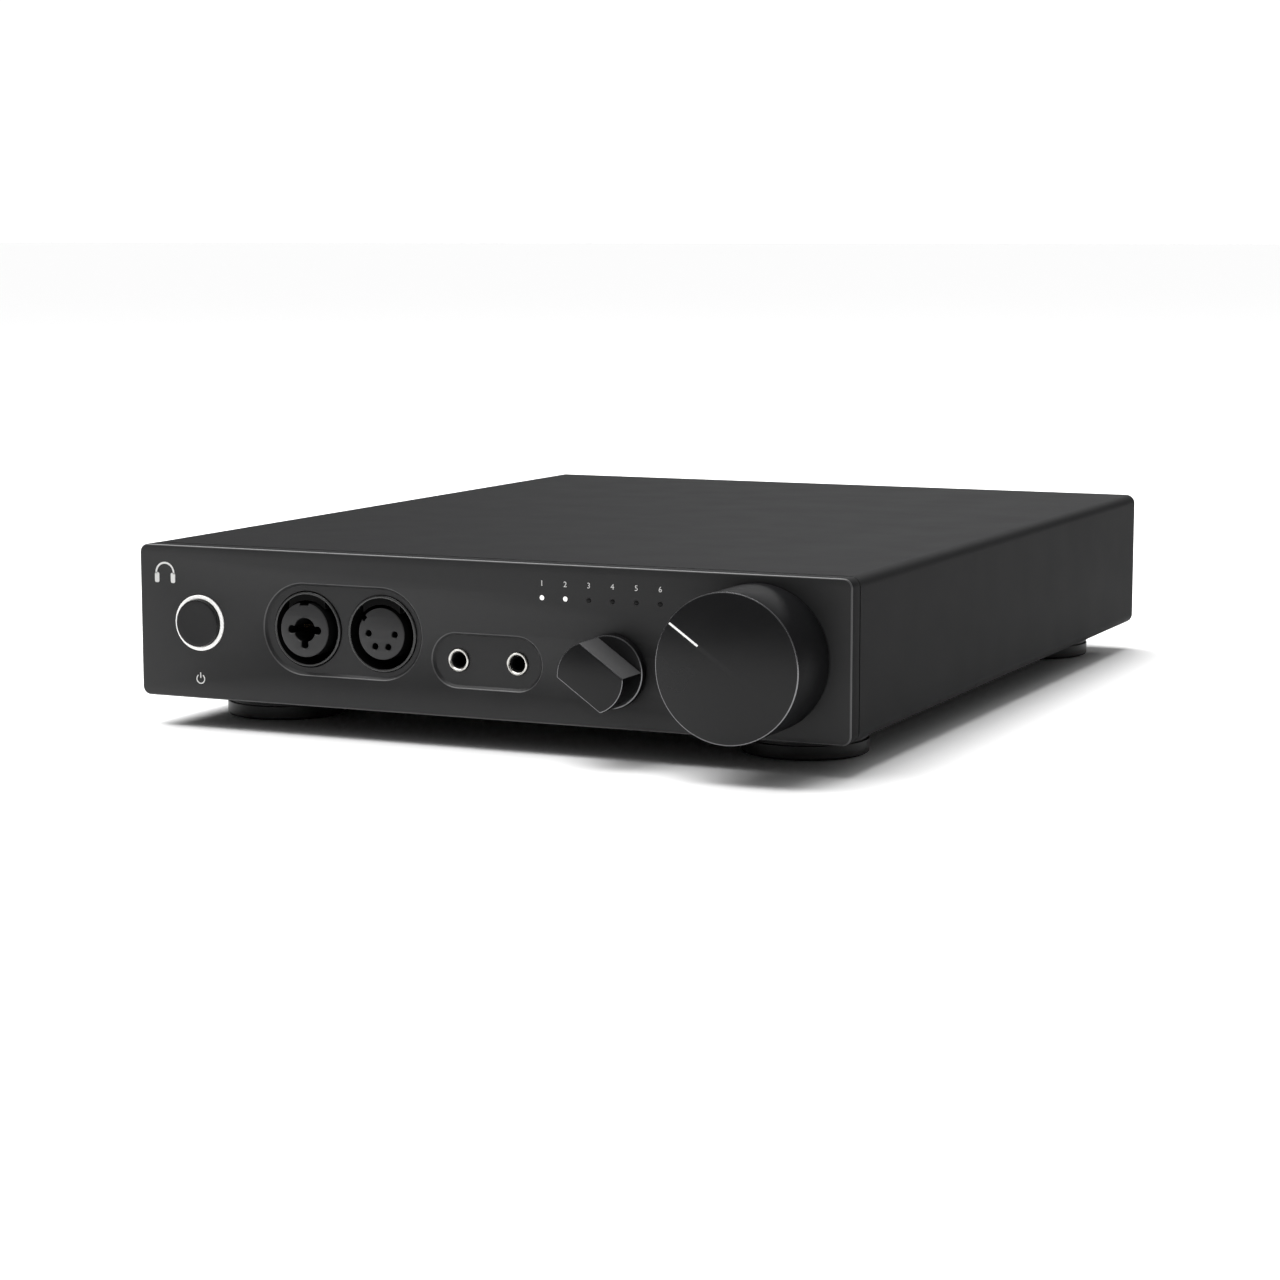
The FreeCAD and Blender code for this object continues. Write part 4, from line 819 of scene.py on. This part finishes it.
def volume():
    """A plain round knob with a white line let into its face."""
    middle, (inner, outer) = on_front("volume_knob")
    x, y = middle
    foot = [(circle(middle, radius, WHEEL_STEPS), inner + rise) for radius, rise in VOLUME_FOOT]
    shoulder = [(circle(middle, radius, WHEEL_STEPS), outer - drop) for radius, drop in VOLUME_SHOULDER]
    line = rounded((x + LINE_REACH, y), LINE_LENGTH, LINE_WIDTH, LINE_CORNER, 3)
    knob = Shell()
    knob.wall(*foot, shoulder[0], finish=2)
    # The shoulder takes the pale edge finish, a painted highlight.
    knob.wall(*shoulder, finish=1)
    knob.wall((line, outer), (line, outer - LINE_DEPTH))
    knob.cap(outer - LINE_DEPTH, line)
    knob.cap(outer, shoulder[-1][0], line)
    knob.cap(inner, foot[0][0])
    settle(knob.finish("volume_wheel", FRONT, VOLUME_TURN, middle), knob_black, "knob_black", "volume_knob",
           body="volume", others=(knob_edge_highlight, knob_side))
    mark = Shell()
    mark.prism(line, outer - LINE_DEPTH, outer - LINE_SINK)
    settle(mark.finish("volume_line", FRONT, VOLUME_TURN, middle), pointer_white, "pointer_white",
           "volume_pointer", body="volume")


selector()
volume()


# Lamps and printed signs

# The lens behind its dome, as (radius, level) corners.
LENS_BACK = [(0.7, -3.0), (0.7, -0.12), (0.62, 0.02)]
# The dome above it, as (radius, drop) steps.
LENS_DOME = ((0.42, 0.03), (0.14, 0))
PRINT_HEIGHT = 0.03
NUMBER_SIZE = 2.2
NUMBER_RISE = 4.0
PHONES_MIDDLE = (-103.4, 36.6)
# Bands of the signs, as inner and outer radius and the turns where they start and end.
PHONES_BAND = (2.75, 3.3, -4, 184)
PHONES_CUP_DROP = 1.35
# Bars of the signs, as width, height and corner.
PHONES_CUP = (1.5, 3.0, 0.5)
POWER_SIGN_HEIGHT = 5.8
POWER_ARC = (1.15, 1.5, 125, 415)
POWER_BAR_RISE = 1.1
POWER_BAR = (0.36, 1.7, 0.1)


def lamps():
    """A small domed lens on every spot, two of them lit."""
    kinds = (("lit_lenses", lens_white, "ring_light"), ("dark_lenses", lens_dark, "lens_dark"))
    for node, material, slot in kinds:
        reach = on_front(node)[1][1]
        dome = Shell()
        dome.turned((0, 0), LENS_BACK + [(radius, reach - drop) for radius, drop in LENS_DOME], 24)
        master = dome.finish("lens_master", FRONT, smooth=50)
        spots = [(x, y, 0) for x, y in lens_spots(node)]
        settle(repeat(node + "_domes", master, FRONT, spots, material), material, slot, node)


def lettering(letters, size, place, name):
    """Flat raised characters, each given with the middle of its place on a face."""
    sheet = bmesh.new()
    for character, (x, y) in letters:
        curve = bpy.data.curves.new("character", "FONT")
        curve.body = character
        curve.size = size
        curve.align_x = "CENTER"
        curve.align_y = "CENTER"
        curve.extrude = PRINT_HEIGHT / 2
        curve.resolution_u = 3
        stamp = bpy.data.objects.new("character", curve)
        bpy.context.scene.collection.objects.link(stamp)
        flat = bpy.data.meshes.new_from_object(stamp.evaluated_get(bpy.context.evaluated_depsgraph_get()))
        flat.transform(Matrix.Translation((x, y, PRINT_HEIGHT / 2)))
        sheet.from_mesh(flat)
        bpy.data.objects.remove(stamp)
        bpy.data.meshes.remove(flat)
    bmesh.ops.remove_doubles(sheet, verts=sheet.verts, dist=SAME_SPOT)
    bmesh.ops.recalc_face_normals(sheet, faces=sheet.faces)
    data = bpy.data.meshes.new(name)
    sheet.to_mesh(data)
    sheet.free()
    data.transform(place)
    piece = bpy.data.objects.new(name, data)
    bpy.context.scene.collection.objects.link(piece)
    return piece


def signs():
    """A number over each lamp, a headphone sign and a power sign."""
    spots = sorted(lens_spots("lit_lenses") + lens_spots("dark_lenses"))
    numbers = [(str(place), (x, y + NUMBER_RISE)) for place, (x, y) in enumerate(spots, start=1)]
    settle(lettering(numbers, NUMBER_SIZE, FRONT, "lamp_numbers"), print_white, "pointer_white")
    phones = Shell()
    x, y = PHONES_MIDDLE
    phones.prism(sector((x, y), *PHONES_BAND), 0, PRINT_HEIGHT)
    for side in (-1, 1):
        cup = (x + side * PHONES_BAND[0], y - PHONES_CUP_DROP)
        phones.prism(rounded(cup, *PHONES_CUP, 6), 0, PRINT_HEIGHT)
    settle(phones.finish("headphone_sign", FRONT), print_white, "pointer_white")
    power = Shell()
    x, y = on_front("power_button")[0][0], POWER_SIGN_HEIGHT
    power.prism(sector((x, y), *POWER_ARC), 0, PRINT_HEIGHT)
    power.prism(rounded((x, y + POWER_BAR_RISE), *POWER_BAR, 3), 0, PRINT_HEIGHT)
    settle(power.finish("power_sign", FRONT), print_white, "pointer_white")


lamps()
signs()


# Feet

FEET = ("foot_front_left", "foot_front_right", "foot_rear_left", "foot_rear_right")
FOOT_RADIUS = 18.0
# Hollows of the underside: a well for the screw and a ring for the pad.
SCREW_WELL = 4.3
SCREW_WELL_TOP = 2.3
PAD_SEAT_BORE = 5.9
PAD_SEAT = 15.6
PAD_SEAT_TOP = 1.65
# The rim, the groove and the top edge, as (inset, rise) steps from the foot's side.
FOOT_RIM = ((0.7, 0), (0.25, 0.12), (0, 0.5))
FOOT_GROOVE = ((0, -0.2), (0.15, -0.05), (0.8, 0), (0.8, 0.5), (0.15, 0.55), (0, 0.7))
FOOT_TOP = ((0, -0.4), (0.2, 0))
# The pad's section, as (radius, level) corners.
FOOT_PAD = [(6.2, 1.6), (6.2, 0.3), (6.5, 0), (15.0, 0), (15.3, 0.3), (15.3, 1.6)]


def feet():
    """Four turned feet with a groove at half height, each with its pad."""
    spots = []
    for node in FEET:
        low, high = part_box(node)
        spots.append(((low.x + high.x) / 2 / MM, (low.y + high.y) / 2 / MM, 0))
    low, high = (value.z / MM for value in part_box(FEET[0]))
    profile = [(SCREW_WELL, SCREW_WELL_TOP), (SCREW_WELL, low), (PAD_SEAT_BORE, low),
               (PAD_SEAT_BORE, PAD_SEAT_TOP), (PAD_SEAT, PAD_SEAT_TOP), (PAD_SEAT, low)]
    for level, steps in ((low, FOOT_RIM), (high / 2, FOOT_GROOVE), (high, FOOT_TOP)):
        profile += [(FOOT_RADIUS - aside, level + rise) for aside, rise in steps]
    foot = Shell()
    foot.turned((0, 0), profile, 96)
    master = foot.finish("foot_master", TABLE)
    settle(repeat("feet", master, TABLE, spots, foot_black), foot_black, "knob_black", *FEET)
    pad = Shell()
    pad.tube((0, 0), FOOT_PAD, 72)
    master = pad.finish("pad_master", TABLE)
    settle(repeat("foot_cushions", master, TABLE, spots, rubber), rubber, "rubber", "foot_pads")


feet()


# Screws

SCREW_HEAD = 2.8
SCREW_RISE = 1.5
SCREW_SHANK = 1.4
SHANK_REACH = 2.5
SHANK_TOP = 0.01
SCREW_DRIVE = 1.15
DRIVE_FLOOR_RADIUS = 1.104
# The button head, as (part of its radius, part of its rise) steps.
HEAD_SHAPE = ((1, 0), (1, 0.3), (0.9, 0.72), (0.68, 1))
DRIVE_FLOOR = 0.3


def screw_master(name, place):
    """A button-head screw with a six-sided drive, standing on its face."""
    shank = circle((0, 0), SCREW_SHANK, 24)
    shape = [(circle((0, 0), SCREW_HEAD * part, 24), SCREW_RISE * rise) for part, rise in HEAD_SHAPE]
    drive = circle((0, 0), SCREW_DRIVE, 6)
    drive_floor = circle((0, 0), DRIVE_FLOOR_RADIUS, 6)
    head = Shell()
    head.wall((shank, -SHANK_REACH), (shank, -SHANK_TOP), *shape)
    head.cap(-SHANK_REACH, shank)
    head.cap(SCREW_RISE, shape[-1][0], drive)
    head.wall((drive, SCREW_RISE), (drive_floor, SCREW_RISE * DRIVE_FLOOR))
    head.cap(SCREW_RISE * DRIVE_FLOOR, drive_floor)
    return head.finish(name, place)


def panel_screws():
    """One button-head screw in place of each screw of the rear panel."""
    spots = []
    for low, high in solids_of("panel_screws"):
        middle = (low + high) / 2
        top = (high.y - rear_high.y) / MM
        spots.append((-middle.x / MM, (middle.z - case_bottom) / MM, top - SCREW_RISE))
    master = screw_master("screw_master", REAR)
    screws = repeat("rear_screws", master, REAR, spots, screw_black)
    settle(screws, screw_black, "screw_black", "panel_screws")


panel_screws()


# Floor, light and camera

FLOOR_REACH = 40
# Each soft light: name, place, width, height and power.
SOFT_LIGHTS = (("overhead", (-0.5, 0.0, 1.6), 2.2, 2.2, 44), ("behind", (-0.1, 2.3, 1.15), 2.0, 0.5, 12))
DAYLIGHT_POWER = 2.4
DAYLIGHT_SPREAD = 55
DAYLIGHT_AIM = Vector((0.38, -0.12, -1.0))
# The room's brightness low down and overhead, and the white that the camera sees behind the object.
ROOM_LOW = 0.10
ROOM_HIGH = 0.45
BACKDROP = 1.1
WHITE = (1, 1, 1, 1)
EYE = Vector((0.38585, -0.87409, 0.14467))
AIM = Vector((-0.4096, 0.9023, -0.1347))
LENS = 84.12


def floor():
    data = bpy.data.meshes.new("floor")
    corners = [(x * FLOOR_REACH, y * FLOOR_REACH, 0) for x, y in ((-1, -1), (1, -1), (1, 1), (-1, 1))]
    data.from_pydata(corners, [], [(0, 1, 2, 3)])
    ground = bpy.data.objects.new("floor", data)
    bpy.context.scene.collection.objects.link(ground)
    material, nodes, link = new_material("pale floor")
    nodes["Principled BSDF"].inputs["Base Color"].default_value = (0.92, 0.92, 0.92, 1)
    nodes["Principled BSDF"].inputs["Roughness"].default_value = 0.9
    nodes["Principled BSDF"].inputs["Specular IOR Level"].default_value = 0.0
    data.materials.append(material)


def soft_light(name, spot, width, height, power):
    """A lamp with a rectangular face, aimed at the frame's origin."""
    data = bpy.data.lights.new(name, "AREA")
    data.shape = "RECTANGLE"
    data.size = width
    data.size_y = height
    data.energy = power
    lamp = bpy.data.objects.new(name, data)
    lamp.location = spot
    lamp.rotation_mode = "QUATERNION"
    lamp.rotation_quaternion = (-Vector(spot)).to_track_quat("-Z", "Y")
    bpy.context.scene.collection.objects.link(lamp)


def studio():
    """Two soft lights, a wide sun and a pale room."""
    for light in SOFT_LIGHTS:
        soft_light(*light)
    data = bpy.data.lights.new("daylight", "SUN")
    data.energy = DAYLIGHT_POWER
    data.angle = math.radians(DAYLIGHT_SPREAD)
    daylight = bpy.data.objects.new("daylight", data)
    daylight.rotation_mode = "QUATERNION"
    daylight.rotation_quaternion = DAYLIGHT_AIM.to_track_quat("-Z", "Y")
    bpy.context.scene.collection.objects.link(daylight)
    world = bpy.data.worlds.new("studio")
    bpy.context.scene.world = world
    world.use_nodes = True
    nodes, link = world.node_tree.nodes, world.node_tree.links.new
    room = nodes["Background"]
    split = nodes.new("ShaderNodeSeparateXYZ")
    link(nodes.new("ShaderNodeTexCoord").outputs["Generated"], split.inputs[0])
    link(spread(nodes, link, split.outputs["Z"], ROOM_LOW, ROOM_HIGH, 0.05, 0.9), room.inputs["Strength"])
    room.inputs["Color"].default_value = WHITE
    white = nodes.new("ShaderNodeBackground")
    white.inputs["Color"].default_value = WHITE
    white.inputs["Strength"].default_value = BACKDROP
    mix = nodes.new("ShaderNodeMixShader")
    path = nodes.new("ShaderNodeLightPath")
    link(path.outputs["Is Camera Ray"], mix.inputs["Fac"])
    link(room.outputs[0], mix.inputs[1])
    link(white.outputs[0], mix.inputs[2])
    link(mix.outputs[0], nodes["World Output"].inputs["Surface"])


def camera():
    data = bpy.data.cameras.new("camera")
    data.sensor_width = 36
    data.lens = LENS
    data.clip_start = 0.05
    data.clip_end = 100
    eye = bpy.data.objects.new("camera", data)
    eye.location = EYE
    eye.rotation_mode = "QUATERNION"
    eye.rotation_quaternion = AIM.to_track_quat("-Z", "Y")
    bpy.context.scene.collection.objects.link(eye)
    bpy.context.scene.camera = eye


floor()
studio()
camera()
bpy.context.scene.view_settings.view_transform = "Standard"
